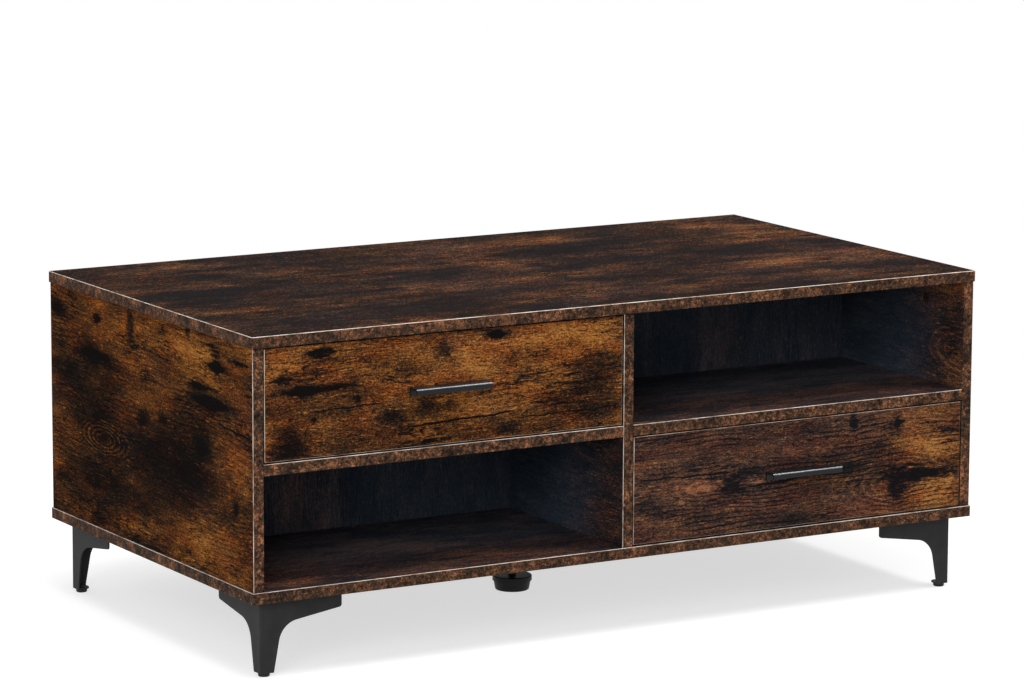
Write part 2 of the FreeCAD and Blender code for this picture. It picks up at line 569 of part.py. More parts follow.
def make_drawer(half, level, bay_sign, bay_floor):
    """Drawer with its runners in one bay of the front half, turned round for the back half."""
    name = half + "_" + level
    drawer = name + "_drawer_"
    pieces = {}
    holes = {}

    front_half_width = BAY_WIDTH / 2 - FRONT_GAP
    pieces["front"] = [box((-front_half_width, FRONT_Y, FRONT_GAP),
                           (front_half_width, BOX_FRONT_Y, BAY_HEIGHT - FRONT_GAP))]
    pieces["back"] = [box((-BOX_INNER_HALF, BOX_REAR_Y - DRAWER_SIDE, BOTTOM_Z + DRAWER_BOTTOM),
                          (BOX_INNER_HALF, BOX_REAR_Y, SIDE_TOP))]
    bottom_half = BOX_INNER_HALF + GROOVE_DEPTH - FIT_CLEARANCE
    bottom_front = BOX_FRONT_Y - GROOVE_DEPTH + FIT_CLEARANCE
    pieces["bottom"] = [box((-bottom_half, bottom_front, BOTTOM_Z),
                            (bottom_half, BOX_REAR_Y, BOTTOM_Z + DRAWER_BOTTOM))]
    groove_half = BOX_INNER_HALF + GROOVE_DEPTH
    groove = box((-groove_half, BOX_FRONT_Y - GROOVE_DEPTH, BOTTOM_Z - FIT_CLEARANCE),
                 (groove_half, BOX_REAR_Y, BOTTOM_Z + DRAWER_BOTTOM + FIT_CLEARANCE))
    holes["front"] = [groove]
    holes["sides"] = [groove]
    for node in ("sides", "handle", "runners", "rollers", "fasteners"):
        pieces[node] = []
    for node in ("back", "handle", "runners"):
        holes[node] = []

    handle_z = BAY_HEIGHT / 2
    pieces["handle"].append(handle_shape().translated(vec(0, FRONT_Y, handle_z)))
    for sign in (-1, 1):
        pan_screw(pieces["fasteners"], [holes["front"], holes["handle"]],
                  (sign * HANDLE_SCREW_PITCH / 2, BOX_FRONT_Y, handle_z), (0, -1, 0),
                  BOARD + HANDLE_FLANGE_WALL - FIT_CLEARANCE)

    cabinet_runners = []
    cabinet_rollers = []
    cabinet_screws = []
    wall_holes = {-1: [], 1: []}
    channel_holes = []
    rear_axis_y = BOX_REAR_Y - ROLLER_INSET
    front_axis_y = CHANNEL_FRONT_Y + ROLLER_INSET
    axis_z = RUNNER_RISE + ROLLER_AXIS_Z
    for sign in (-1, 1):
        wall_x = sign * BAY_WIDTH / 2
        inward = (-sign, 0, 0)
        outer_x = sign * BOX_HALF
        pieces["sides"].append(box((outer_x, BOX_FRONT_Y, SIDE_BOTTOM),
                                   (sign * BOX_INNER_HALF, BOX_REAR_Y, SIDE_TOP)))
        cam_joint(pieces["fasteners"], pieces["fasteners"], holes["sides"], holes["front"],
                  (outer_x - sign * DRAWER_SIDE / 2, BOX_FRONT_Y, SIDE_MIDDLE), (0, 1, 0), inward, DRAWER_SIDE)
        countersunk_screw(pieces["fasteners"], [holes["sides"], holes["back"]],
                          (outer_x, BOX_REAR_Y - DRAWER_SIDE / 2, SIDE_MIDDLE), inward,
                          DRAWER_SIDE + BACK_SCREW_BITE)

        cabinet_runner = cabinet_runner_shape()
        drawer_runner = drawer_runner_shape()
        if sign > 0:
            cabinet_runner = cabinet_runner.mirror(ORIGIN, X_AXIS)
            drawer_runner = drawer_runner.mirror(ORIGIN, X_AXIS)
        runner_place = vec(wall_x, CHANNEL_FRONT_Y, RUNNER_RISE)
        cabinet_runners.append(cabinet_runner.translated(runner_place))
        pieces["runners"].append(drawer_runner.translated(runner_place))
        roller_x = wall_x - sign * ROLLER_W
        cabinet_rollers.append(along(roller_shape(), (roller_x, front_axis_y, axis_z), inward))
        pieces["rollers"].append(along(roller_shape(), (roller_x, rear_axis_y, axis_z), inward))

        for y in (BOX_FRONT_Y + RUNNER_SCREW_FRONT, BOX_REAR_Y - RUNNER_SCREW_REAR):
            pan_screw(pieces["fasteners"], [holes["runners"], holes["sides"]],
                      (outer_x - sign * DRAWER_SIDE / 2, y, SIDE_BOTTOM - RUNNER_SHEET), (0, 0, 1),
                      RUNNER_SHEET + SCREW_BITE)
        for y in (CHANNEL_FRONT_Y + RUNNER_SCREW_FRONT, BOX_REAR_Y - RUNNER_SCREW_REAR):
            countersunk_screw(cabinet_screws, [channel_holes, wall_holes[sign]],
                              (wall_x - sign * RUNNER_SHEET, y, axis_z), (sign, 0, 0), RUNNER_SHEET + SCREW_BITE)

    def placed(shape):
        moved = shape.translated(vec(bay_sign * BAY_X, 0, bay_floor))
        return moved.rotated(ORIGIN, UP, HALF_TURN[half])

    for store, group in ((solids, pieces), (cuts, holes)):
        for node, shapes in group.items():
            for shape in shapes:
                listed(drawer + node, store).append(placed(shape))
    turned_sign = bay_sign if half == "front" else -bay_sign
    outer_wall = "left_side_panel" if turned_sign < 0 else "right_side_panel"
    walls = {bay_sign: outer_wall, -bay_sign: "centre_divider"}
    for shape in cabinet_runners:
        add("cabinet_runners", placed(shape))
    for shape in channel_holes:
        cut("cabinet_runners", placed(shape))
    for shape in cabinet_screws:
        add("panel_screws", placed(shape))
    for shape in cabinet_rollers:
        add(name + "_cabinet_rollers", placed(shape))
    for sign, shapes in wall_holes.items():
        for shape in shapes:
            cut(walls[sign], placed(shape))


def write_parts():
    os.makedirs("parts", exist_ok=True)
    for node, pieces in solids.items():
        shape = Part.makeCompound(pieces)
        if cuts.get(node):
            shape = shape.cut(cuts[node])
        Part.makeCompound(shape.Solids).exportStep("parts/" + node + ".step")


make_carcass()
make_legs()
make_support()
for half in HALF_TURN:
    make_drawer(half, "upper", -1, SHELF_TOP_Z)
    make_drawer(half, "lower", 1, FLOOR_Z)
write_parts()
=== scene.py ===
"""Looks of the coffee table: boards with a rustic print and edge bands, black steel, plastic and
plated fasteners."""
import json
import math

import bmesh
import bpy
from mathutils import Matrix, Vector

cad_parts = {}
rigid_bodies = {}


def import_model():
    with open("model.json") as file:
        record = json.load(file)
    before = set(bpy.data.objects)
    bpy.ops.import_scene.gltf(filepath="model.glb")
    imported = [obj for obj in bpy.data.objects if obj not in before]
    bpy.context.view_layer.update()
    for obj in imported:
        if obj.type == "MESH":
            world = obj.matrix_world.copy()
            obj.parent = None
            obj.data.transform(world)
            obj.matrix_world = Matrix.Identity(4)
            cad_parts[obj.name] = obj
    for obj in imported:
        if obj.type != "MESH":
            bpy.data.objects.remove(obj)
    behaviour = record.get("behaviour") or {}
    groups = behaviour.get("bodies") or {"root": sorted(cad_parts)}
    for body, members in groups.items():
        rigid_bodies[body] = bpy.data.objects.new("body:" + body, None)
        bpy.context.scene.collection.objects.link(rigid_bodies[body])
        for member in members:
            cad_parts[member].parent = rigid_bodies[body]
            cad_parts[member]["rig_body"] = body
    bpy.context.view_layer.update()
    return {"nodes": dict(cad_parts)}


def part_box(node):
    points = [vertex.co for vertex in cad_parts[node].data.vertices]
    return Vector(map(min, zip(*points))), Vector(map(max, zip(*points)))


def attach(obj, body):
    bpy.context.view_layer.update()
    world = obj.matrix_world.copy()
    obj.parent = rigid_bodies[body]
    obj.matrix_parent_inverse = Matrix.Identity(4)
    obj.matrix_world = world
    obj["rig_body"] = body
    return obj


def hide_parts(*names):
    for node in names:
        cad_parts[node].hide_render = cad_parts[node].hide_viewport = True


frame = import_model()

MM = 0.001
WHITE = (1, 1, 1, 1)
AXES = {"x": 0, "y": 1, "z": 2}
DRAWERS = ("front_upper", "front_lower", "back_upper", "back_lower")


def third_axis(first, second):
    """The axis that is neither of the two."""
    return sum(AXES.values()) - first - second


# the sRGB curve: straight at first, then a power
SRGB_STRAIGHT_TO = 0.04045
SRGB_SLOPE = 12.92
SRGB_OFFSET = 0.055
SRGB_POWER = 2.4


def srgb(red, green, blue):
    """A linear colour from the three levels, 0 to 255, that it shows on a screen."""
    def linear(level):
        share = level / 255
        if share <= SRGB_STRAIGHT_TO:
            return share / SRGB_SLOPE
        return ((share + SRGB_OFFSET) / (1 + SRGB_OFFSET)) ** SRGB_POWER
    return (linear(red), linear(green), linear(blue), 1)


# Noises: waves in a metre along each axis, number of octaves, strength of each finer octave.

def even(waves, octaves=2, strength=0.5):
    """A noise that is the same in all directions."""
    return (waves, waves, waves), octaves, strength


def grained(along, across, octaves=2, strength=0.5):
    """A noise that is drawn out along the first axis."""
    return (along, across, across), octaves, strength


class Tree:
    """Adds nodes to one node tree and links their sockets."""

    def __init__(self, tree):
        self.tree = tree

    def feed(self, node, inputs):
        """Links each given socket to the node's input, or sets the input to the given value."""
        for key, value in inputs.items():
            if isinstance(value, bpy.types.NodeSocket):
                self.tree.links.new(value, node.inputs[key])
            else:
                node.inputs[key].default_value = value

    def add(self, kind, inputs, **settings):
        """A new node with its settings and inputs."""
        node = self.tree.nodes.new("ShaderNode" + kind)
        for name, value in settings.items():
            setattr(node, name, value)
        self.feed(node, inputs)
        return node

    def math(self, operation, *values):
        return self.add("Math", dict(enumerate(values)), operation=operation).outputs[0]

    def vector(self, operation, *values):
        node = self.add("VectorMath", dict(enumerate(values)), operation=operation)
        return node.outputs["Vector"]

    def length(self, value):
        return self.add("VectorMath", {0: value}, operation="LENGTH").outputs["Value"]

    def parts(self, value):
        """The three parts of a vector."""
        return self.add("SeparateXYZ", {0: value}).outputs

    def place(self):
        """The place in the table's own frame, in metres."""
        return self.add("TexCoord", {}).outputs["Object"]

    def smooth(self, value, edges, results=(0.0, 1.0)):
        """Goes smoothly from one result to the other while the value goes between the edges."""
        inputs = {"Value": value, "From Min": edges[0], "From Max": edges[1],
                  "To Min": results[0], "To Max": results[1]}
        return self.add("MapRange", inputs, interpolation_type="SMOOTHSTEP").outputs["Result"]

    def noise(self, place, noise, output="Fac"):
        scale, octaves, strength = noise
        inputs = {"Vector": self.vector("MULTIPLY", place, scale), "Scale": 1.0,
                  "Detail": octaves, "Roughness": strength}
        return self.add("TexNoise", inputs).outputs[output]

    def shaken(self, place, noise, reach):
        """A place moved by noise, by up to about half the reach."""
        shift = self.vector("SUBTRACT", self.noise(place, noise, "Color"), (0.5, 0.5, 0.5))
        return self.vector("ADD", place, self.vector("MULTIPLY", shift, reach))

    def centred(self, value, gain):
        """A value around one half, moved to lie around zero."""
        return self.math("MULTIPLY", self.math("SUBTRACT", value, 0.5), gain)

    def total(self, *values):
        result = values[0]
        for value in values[1:]:
            result = self.math("ADD", result, value)
        return result

    def product(self, *values):
        result = values[0]
        for value in values[1:]:
            result = self.math("MULTIPLY", result, value)
        return result

    def mix(self, share, first, second):
        """One colour blended into another."""
        return self.add("Mix", {0: share, 6: first, 7: second}, data_type="RGBA").outputs[2]

    def ramp(self, value, stops):
        node = self.add("ValToRGB", {"Fac": value})
        elements = node.color_ramp.elements
        while len(elements) < len(stops):
            elements.new(1.0)
        for element, (position, colour) in zip(elements, stops):
            element.position = position
            element.color = colour
        return node.outputs["Color"]

    def bump(self, height, strength, distance):
        inputs = {"Height": height, "Strength": strength, "Distance": distance}
        return self.add("Bump", inputs).outputs["Normal"]


def new_material(name):
    """An empty material with its shader: returns the material, its tree and the shader."""
    material = bpy.data.materials.new(name)
    material.use_nodes = True
    tree = Tree(material.node_tree)
    return material, tree, material.node_tree.nodes["Principled BSDF"]


def connect(tree, shader, **sockets):
    """Links sockets to the shader's inputs, which are named with _ for a space."""
    for name, value in sockets.items():
        tree.tree.links.new(value, shader.inputs[name.replace("_", " ")])


# the rustic print: its colours from dark to light

AMBER = [
    (0.00, srgb(20, 18, 17)),
    (0.22, srgb(37, 28, 22)),
    (0.42, srgb(67, 44, 28)),
    (0.60, srgb(106, 65, 32)),
    (0.80, srgb(147, 94, 43)),
    (1.00, srgb(186, 127, 62)),
]
RUSSET = [
    (0.00, srgb(21, 20, 22)),
    (0.22, srgb(37, 30, 27)),
    (0.42, srgb(62, 46, 39)),
    (0.60, srgb(90, 61, 46)),
    (0.80, srgb(122, 83, 58)),
    (1.00, srgb(156, 111, 77)),
]
# painted shade: the blue-black that the print is blended towards where the bays and hidden faces
# lie in shade
PAINTED_SHADE_COLOURS = [
    (0.05, srgb(50, 61, 74)),
    (0.45, srgb(62, 73, 86)),
    (0.90, srgb(84, 93, 102)),
]
RUST_TINT = (1.06, 0.86, 0.84)

# the print's layers, with the grain along the first axis, and how strongly each moves the tone
SWAY, SWAY_REACH = grained(5, 11, 3), (0.05, 0.028, 0.0)
STAINS, STAIN_GAIN = grained(4.5, 11, 4, 0.6), 1.2
CLOUDS, CLOUD_GAIN = grained(17, 36, 5, 0.64), 0.85
STREAKS, STREAK_GAIN = grained(12, 70, 5, 0.62), 0.45
FIBRES, FIBRE_GAIN = grained(38, 460, 3, 0.65), 0.58
GRIT, GRIT_GAIN = grained(210, 430, 3, 0.75), 1.05
DUST, DUST_GAIN = grained(430, 640, 2, 0.7), 1.30
DASHES, DASH_EDGES, DASH_TONE = grained(85, 520, 2, 0.6), (0.58, 0.70), -0.44
GLINTS, GLINT_EDGES, GLINT_TONE = grained(60, 380, 2, 0.6), (0.58, 0.72), 0.30
RING_PERIOD, RING_EDGES = 3.4 * MM, (0.55, 0.95)
RING_DRIFT, RING_DRIFT_REACH = grained(9, 30), 0.016
RING_PATCHES, RING_PATCH_EDGES = grained(7, 17), (0.40, 0.60)
VEINS, VEIN_EDGES, VEIN_TONE = grained(20, 150, 3, 0.55), (0.045, 0.008), -0.40
VEIN_PATCHES, VEIN_PATCH_EDGES = grained(11, 23), (0.53, 0.63)
KNOT_SHAKE, KNOT_REACH = grained(150, 320, 3), (0.014, 0.006, 0.0)
KNOT_CELLS, KNOT_CHOICE, KNOT_EDGES = (8, 19, 0.0), (0.55, 0.60), (0.20, 0.09)
RUSSET_DRIFT, RUSSET_GAIN = grained(7, 13, 3), 1.4
RUST, RUST_EDGES = grained(15, 32, 4, 0.6), (0.44, 0.62)
FIBRE_HEIGHT, GRIT_HEIGHT = 0.6, 0.5
PRINT_ROUGHNESS, FIBRE_ROUGHNESS, DASH_ROUGHNESS = 0.62, 0.25, -0.3
PRINT_SPECULAR, PRINT_RELIEF, PRINT_RELIEF_DEPTH = 0.002, 0.3, 0.2 * MM
PRINT_NUMBERS = ("Tone", "Contrast", "Lift", "Rings", "Knots", "Russet", "Painted_Shade", "Fine")


def ring_tone(tree, place, swayed, lift, strength):
    """Growth rings along the grain, in patches."""
    drift = tree.centred(tree.noise(place, RING_DRIFT), RING_DRIFT_REACH)
    field = tree.total(tree.parts(swayed)["Y"], lift, drift)
    wave = tree.math("PINGPONG", tree.math("DIVIDE", field, RING_PERIOD), 1.0)
    patches = tree.smooth(tree.noise(place, RING_PATCHES), RING_PATCH_EDGES)
    return tree.product(tree.smooth(wave, RING_EDGES), patches, strength, -1.0)


def vein_tone(tree, place, swayed):
    """Thin dark veins, in patches."""
    contour = tree.math("ABSOLUTE", tree.math("SUBTRACT", tree.noise(swayed, VEINS), 0.5))
    patches = tree.smooth(tree.noise(place, VEIN_PATCHES), VEIN_PATCH_EDGES)
    return tree.product(tree.smooth(contour, VEIN_EDGES), patches, VEIN_TONE)


def knot_tone(tree, swayed, strength):
    """Small knots in some of the cells of a net."""
    ragged = tree.shaken(swayed, KNOT_SHAKE, KNOT_REACH)
    inputs = {"Vector": tree.vector("MULTIPLY", ragged, KNOT_CELLS), "Scale": 1.0}
    cells = tree.add("TexVoronoi", inputs, voronoi_dimensions="2D").outputs
    chosen = tree.smooth(tree.parts(cells["Color"])["X"], KNOT_CHOICE)
    return tree.product(tree.smooth(cells["Distance"], KNOT_EDGES), chosen, strength, -1.0)


def print_group():
    """The board's printed pattern as one node group, with its painted shade blended in."""
    group = bpy.data.node_groups.new("rustic_print", "ShaderNodeTree")
    face = group.interface
    face.new_socket("Place", in_out="INPUT", socket_type="NodeSocketVector")
    for name in PRINT_NUMBERS:
        face.new_socket(name, in_out="INPUT", socket_type="NodeSocketFloat")
    face.new_socket("Color", in_out="OUTPUT", socket_type="NodeSocketColor")
    for name in ("Roughness", "Height"):
        face.new_socket(name, in_out="OUTPUT", socket_type="NodeSocketFloat")
    tree = Tree(group)
    given = group.nodes.new("NodeGroupInput").outputs
    place = given["Place"]
    swayed = tree.shaken(place, SWAY, SWAY_REACH)

    stains = tree.centred(tree.noise(swayed, STAINS), STAIN_GAIN)
    clouds = tree.centred(tree.noise(swayed, CLOUDS), CLOUD_GAIN)
    streaks = tree.centred(tree.noise(swayed, STREAKS), STREAK_GAIN)
    cover = tree.product(tree.total(stains, clouds, streaks), given["Contrast"])
    fibres = tree.noise(swayed, FIBRES)
    grit = tree.noise(place, GRIT)
    dust = tree.noise(place, DUST)
    specks = tree.total(tree.centred(grit, GRIT_GAIN), tree.centred(dust, DUST_GAIN))
    fine = tree.product(specks, given["Fine"])
    dashes = tree.smooth(tree.noise(swayed, DASHES), DASH_EDGES, (0.0, DASH_TONE))
    glints = tree.smooth(tree.noise(swayed, GLINTS), GLINT_EDGES, (0.0, GLINT_TONE))
    rings = ring_tone(tree, place, swayed, given["Lift"], given["Rings"])
    veins = vein_tone(tree, place, swayed)
    knots = knot_tone(tree, swayed, given["Knots"])
    tone = tree.total(given["Tone"], cover, tree.centred(fibres, FIBRE_GAIN), fine, dashes,
                      glints, rings, veins, knots)

    drift = tree.centred(tree.noise(place, RUSSET_DRIFT), RUSSET_GAIN)
    russet = tree.smooth(tree.total(given["Russet"], drift), (0.0, 1.0))
    colour = tree.mix(russet, tree.ramp(tone, AMBER), tree.ramp(tone, RUSSET))
    rust = tree.smooth(tree.noise(place, RUST), RUST_EDGES)
    colour = tree.mix(rust, colour, tree.vector("MULTIPLY", colour, RUST_TINT))
    # painted shade: blends the print towards blue-black
    colour = tree.mix(given["Painted_Shade"], colour, tree.ramp(tone, PAINTED_SHADE_COLOURS))
    height = tree.total(tree.product(fibres, FIBRE_HEIGHT), tree.product(grit, GRIT_HEIGHT),
                        dashes, veins)
    roughness = tree.total(PRINT_ROUGHNESS, tree.centred(fibres, FIBRE_ROUGHNESS),
                           tree.product(dashes, DASH_ROUGHNESS))
    result = group.nodes.new("NodeGroupOutput").inputs
    for name, value in (("Color", colour), ("Roughness", roughness), ("Height", height)):
        group.links.new(value, result[name])
    return group


PRINT = print_group()

# How the marks of a face are drawn. Edges are shares of a mark's size: 1 is its outline.
CLOUD_SHAKE, CLOUD_REACH = grained(70, 150, 3), (0.022, 0.014, 0.0)
CLOUD_EDGES = (1.3, 0.1)
LENS_POWER = 1.5
LENS_SHAKE, LENS_REACH = grained(110, 300, 3), (0.020, 0.007, 0.0)
LENS_BREAKS = grained(60, 420, 2, 0.6)
LENS_BREAK_EDGES, LENS_BREAK_DEPTHS = (0.36, 0.54), (0.55, 1.0)
LENS_CORE_EDGES, LENS_HALO_EDGES, LENS_LIFT_EDGES = (1.05, 0.6), (2.2, 0.7), (3.2, 0.0)
LENS_HALO_SHARE = 0.30
EYE_SHAKE, EYE_REACH = grained(40, 80, 3), (0.012, 0.008, 0.0)
EYE_LINE_EDGES, EYE_LINE_TONES = (0.35, 0.9), (-0.6, 1.0)
EYE_OUTER_EDGES, EYE_INNER_EDGES = (1.7, 0.7), (0.2, 0.4)
CRACK_DRIFT, CRACK_DRIFT_REACH = grained(26, 0.01, 4, 0.6), 0.012
CRACK_WEIGHT, CRACK_WEIGHT_EDGES, CRACK_WEIGHTS = grained(60, 30), (0.36, 0.56), (0.45, 1.0)
CRACK_FULL_TO, CRACK_CORE, CRACK_TONE = 0.55, 0.3, -1.05
PATCH_SHAKE, PATCH_REACH, PATCH_EDGES = grained(30, 120, 3), (0.05, 0.016, 0.0), (0.2, 1.3)
BAY_OPEN_SIDE, BAY_BACK = 0.285, 0.12     # distances from the table's long middle line, between which the painted shade grows towards the back of a bay


def distance_in(tree, place, along, across, half_length, half_width):
    """Distance from the middle of an ellipse, 1 on its edge. The ellipse is in mm."""
    offset = tree.vector("SUBTRACT", place, (along * MM, across * MM, 0.0))
    scale = (1 / (half_length * MM), 1 / (half_width * MM), 0.0)
    return tree.length(tree.vector("MULTIPLY", offset, scale))


def lens_in(tree, place, along, across, half_length, half_width):
    """The same for a lens that is pointed along the grain."""
    offset = tree.vector("SUBTRACT", place, (along * MM, across * MM, 0.0))
    parts = tree.parts(tree.vector("ABSOLUTE", offset))
    reach = tree.math("POWER", tree.product(parts["X"], 1 / (half_length * MM)), LENS_POWER)
    return tree.total(reach, tree.product(parts["Y"], 1 / (half_width * MM)))


def add_clouds(tree, place, tone, clouds):
    """The tone with soft lighter and darker patches."""
    loose = tree.shaken(place, CLOUD_SHAKE, CLOUD_REACH)
    for *ellipse, shade in clouds:
        away = distance_in(tree, loose, *ellipse)
        tone = tree.total(tree.smooth(away, CLOUD_EDGES, (0.0, shade)), tone)
    return tone


def add_knots(tree, place, tone, knots):
    """The tone with dark knots, and how far the rings are lifted round them."""
    lift = 0.0
    ragged = tree.shaken(place, LENS_SHAKE, LENS_REACH)
    broken = tree.smooth(tree.noise(place, LENS_BREAKS), LENS_BREAK_EDGES, LENS_BREAK_DEPTHS)
    for *ellipse, depth, ring in knots:
        away = lens_in(tree, ragged, *ellipse)
        core = tree.product(tree.smooth(away, LENS_CORE_EDGES, (0.0, -depth)), broken)
        halo = tree.smooth(away, LENS_HALO_EDGES, (0.0, -LENS_HALO_SHARE * depth))
        tone = tree.total(core, halo, tone)
        if ring:
            lift = tree.total(tree.smooth(away, LENS_LIFT_EDGES, (0.0, ring * MM)), lift)
    return tone, lift


def add_eyes(tree, place, tone, eyes):
    """The tone with closed rings."""
    for *ellipse, count, strength in eyes:
        away = distance_in(tree, tree.shaken(place, EYE_SHAKE, EYE_REACH), *ellipse)
        wave = tree.math("PINGPONG", tree.product(away, float(count)), 1.0)
        lines = tree.smooth(wave, EYE_LINE_EDGES, EYE_LINE_TONES)
        outer = tree.smooth(away, EYE_OUTER_EDGES)
        inner = tree.smooth(away, EYE_INNER_EDGES)
        tone = tree.total(tree.product(lines, outer, inner, strength), tone)
    return tone


def add_cracks(tree, place, tone, cracks):
    """The tone with thin dark lines, which drift across the grain."""
    parts = tree.parts(place)
    drift = tree.centred(tree.noise(place, CRACK_DRIFT), CRACK_DRIFT_REACH)
    weight = tree.smooth(tree.noise(place, CRACK_WEIGHT), CRACK_WEIGHT_EDGES, CRACK_WEIGHTS)
    for start, end, width in cracks:
        slope = (end[1] - start[1]) / (end[0] - start[0])
        level = (start[1] - slope * start[0]) * MM
        line = tree.math("MULTIPLY_ADD", parts["X"], slope, level)
        beside = tree.total(tree.math("SUBTRACT", parts["Y"], line), drift)
        thin = tree.smooth(tree.math("ABSOLUTE", beside), (width * MM, width * CRACK_CORE * MM))
        middle = (start[0] + end[0]) / 2 * MM
        reach = abs(end[0] - start[0]) / 2 * MM
        from_middle = tree.math("ABSOLUTE", tree.math("SUBTRACT", parts["X"], middle))
        inside = tree.smooth(from_middle, (reach, reach * CRACK_FULL_TO))
        tone = tree.total(tree.product(thin, inside, weight, CRACK_TONE), tone)
    return tone


def depth_in(tree, coordinates):
    """How far inside its bay a place lies: 0 at the open side, 1 near the back."""
    side = tree.math("ABSOLUTE", tree.parts(coordinates)["Y"])
    return tree.smooth(side, (BAY_OPEN_SIDE, BAY_BACK))


def thinned(tree, place, amount, patches):
    """An amount that is smaller on the given patches."""
    if not patches:
        return amount
    ragged = tree.shaken(place, PATCH_SHAKE, PATCH_REACH)
    for *ellipse, share in patches:
        away = distance_in(tree, ragged, *ellipse)
        amount = tree.product(tree.smooth(away, PATCH_EDGES, (1.0 - share, 1.0)), amount)
    return amount


# Each print starts at another place in the pattern: the steps for a seed of 1.
SEED_STEPS = (1.7, 2.3, 3.1)

# what a look has where it says nothing else
PLAIN_LOOK = {
    "contrast": 1.0, "rings": 0.12, "knot": 0.0, "russet": 0.2, "fine": 1.0, "stretch": 1.0,
    "painted_shade": 0.0, "deep_painted_shade": None, "deep_shade_tone": 0.0,
    "clouds": (), "knots": (), "eyes": (), "cracks": (), "less_shade": (), "golden": (),
}


def print_material(name, centre, grain, across, seed, look):
    """One face's print, with the grain along one axis, its own place in the pattern and the
    painted shade that its look gives.
    """
    look = {**PLAIN_LOOK, **look}
    material, tree, shader = new_material(name)
    coordinates = tree.place()
    parts = tree.parts(tree.vector("SUBTRACT", coordinates, tuple(centre)))
    order = {0: parts[grain], 1: parts[across], 2: parts[third_axis(grain, across)]}
    place = tree.add("CombineXYZ", order).outputs[0]
    tone, lift, painted_shade = look["tone"], 0.0, look["painted_shade"]
    if look["clouds"]:
        tone = add_clouds(tree, place, tone, look["clouds"])
    if look["knots"]:
        tone, lift = add_knots(tree, place, tone, look["knots"])
    if look["eyes"]:
        tone = add_eyes(tree, place, tone, look["eyes"])
    if look["cracks"]:
        tone = add_cracks(tree, place, tone, look["cracks"])
    # painted shade: darker and bluer towards the back of a bay, with its tone lifted there
    if look["deep_painted_shade"] is not None:
        depth = depth_in(tree, coordinates)
        painted_shade = tree.math("MULTIPLY_ADD", depth, look["deep_painted_shade"] - painted_shade, painted_shade)
        tone = tree.math("MULTIPLY_ADD", depth, look["deep_shade_tone"], tone)
    # painted shade: lighter on the given patches
    painted_shade = thinned(tree, place, painted_shade, look["less_shade"])
    russet = thinned(tree, place, look["russet"], look["golden"])
    drawn_out = tree.vector("MULTIPLY", place, (1 / look["stretch"], 1.0, 1.0))
    shifted = tree.vector("ADD", drawn_out, tuple(step * seed for step in SEED_STEPS))
    pattern = tree.add("Group", {}, node_tree=PRINT)
    tree.feed(pattern, {"Place": shifted, "Tone": tone, "Contrast": look["contrast"],
                        "Lift": lift, "Rings": look["rings"], "Knots": look["knot"],
                        "Russet": russet, "Painted_Shade": painted_shade, "Fine": look["fine"]})
    shader.inputs["Specular IOR Level"].default_value = PRINT_SPECULAR
    relief = tree.bump(pattern.outputs["Height"], PRINT_RELIEF, PRINT_RELIEF_DEPTH)
    connect(tree, shader, Base_Color=pattern.outputs["Color"],
            Roughness=pattern.outputs["Roughness"], Normal=relief)
    return material


# Marks of the printed faces, in mm from the middle of each face.
# Clouds: along, across, half length, half width, tone. Knots: the same ellipse, depth, ring lift.
# Eyes: the same ellipse, rings, strength. Cracks: start, end, width.
# Patches with less painted shade, and golden ones, less russet: the same ellipse, share.
UPPER_FRONT = {
    "clouds": [
        (-226, -52, 34, 26, -0.44),
        (-240, -62, 50, 14, -0.30),
        (-194, 36, 40, 5, -0.22),
        (-6, 51, 13, 22, -0.30),
        (-83, -28, 22, 12, -0.34),
        (-30, -22, 24, 16, -0.40),
        (2, -23, 20, 6, -0.26),
        (89, -62, 20, 10, -0.40),
        (223, 0, 46, 30, -0.40),
        (178, -20, 62, 28, -0.26),
        (235, -47, 50, 14, -0.34),
        (96, 28, 12, 14, -0.18),
        (-60, 30, 50, 14, -0.14),
        (179, 43, 26, 8, -0.14),
        (160, 54, 130, 22, 0.20),
        (40, 20, 46, 26, 0.14),
        (-100, 52, 60, 22, -0.06),
        (60, 50, 60, 22, 0.10),
        (10, -34, 50, 10, 0.12),
        (-150, -30, 60, 14, 0.06),
        (-170, -20, 150, 90, -0.07),
        (0, -62, 420, 30, -0.09),
    ],
    "knots": [
        (-181, 61, 26, 8, 0.70, 6),
        (-208, 14, 36, 8, 0.75, 6),
        (-160, 16, 34, 4, 0.35, 0),
        (-237, 30, 18, 7, 0.50, 4),
        (72, 63, 17, 7, 0.75, 5),
        (-129, -2, 7, 6, 0.45, 3),
        (-26, -66, 16, 4, 0.55, 0),
        (-36, -51, 5, 4, 0.50, 0),
        (-192, -24, 6, 4, 0.45, 0),
    ],
    "cracks": [
        ((-205, -14), (-80, -10), 1.3),
        ((-70, -46), (112, -38), 1.7),
        ((100, -48), (262, -46), 1.1),
    ],
}
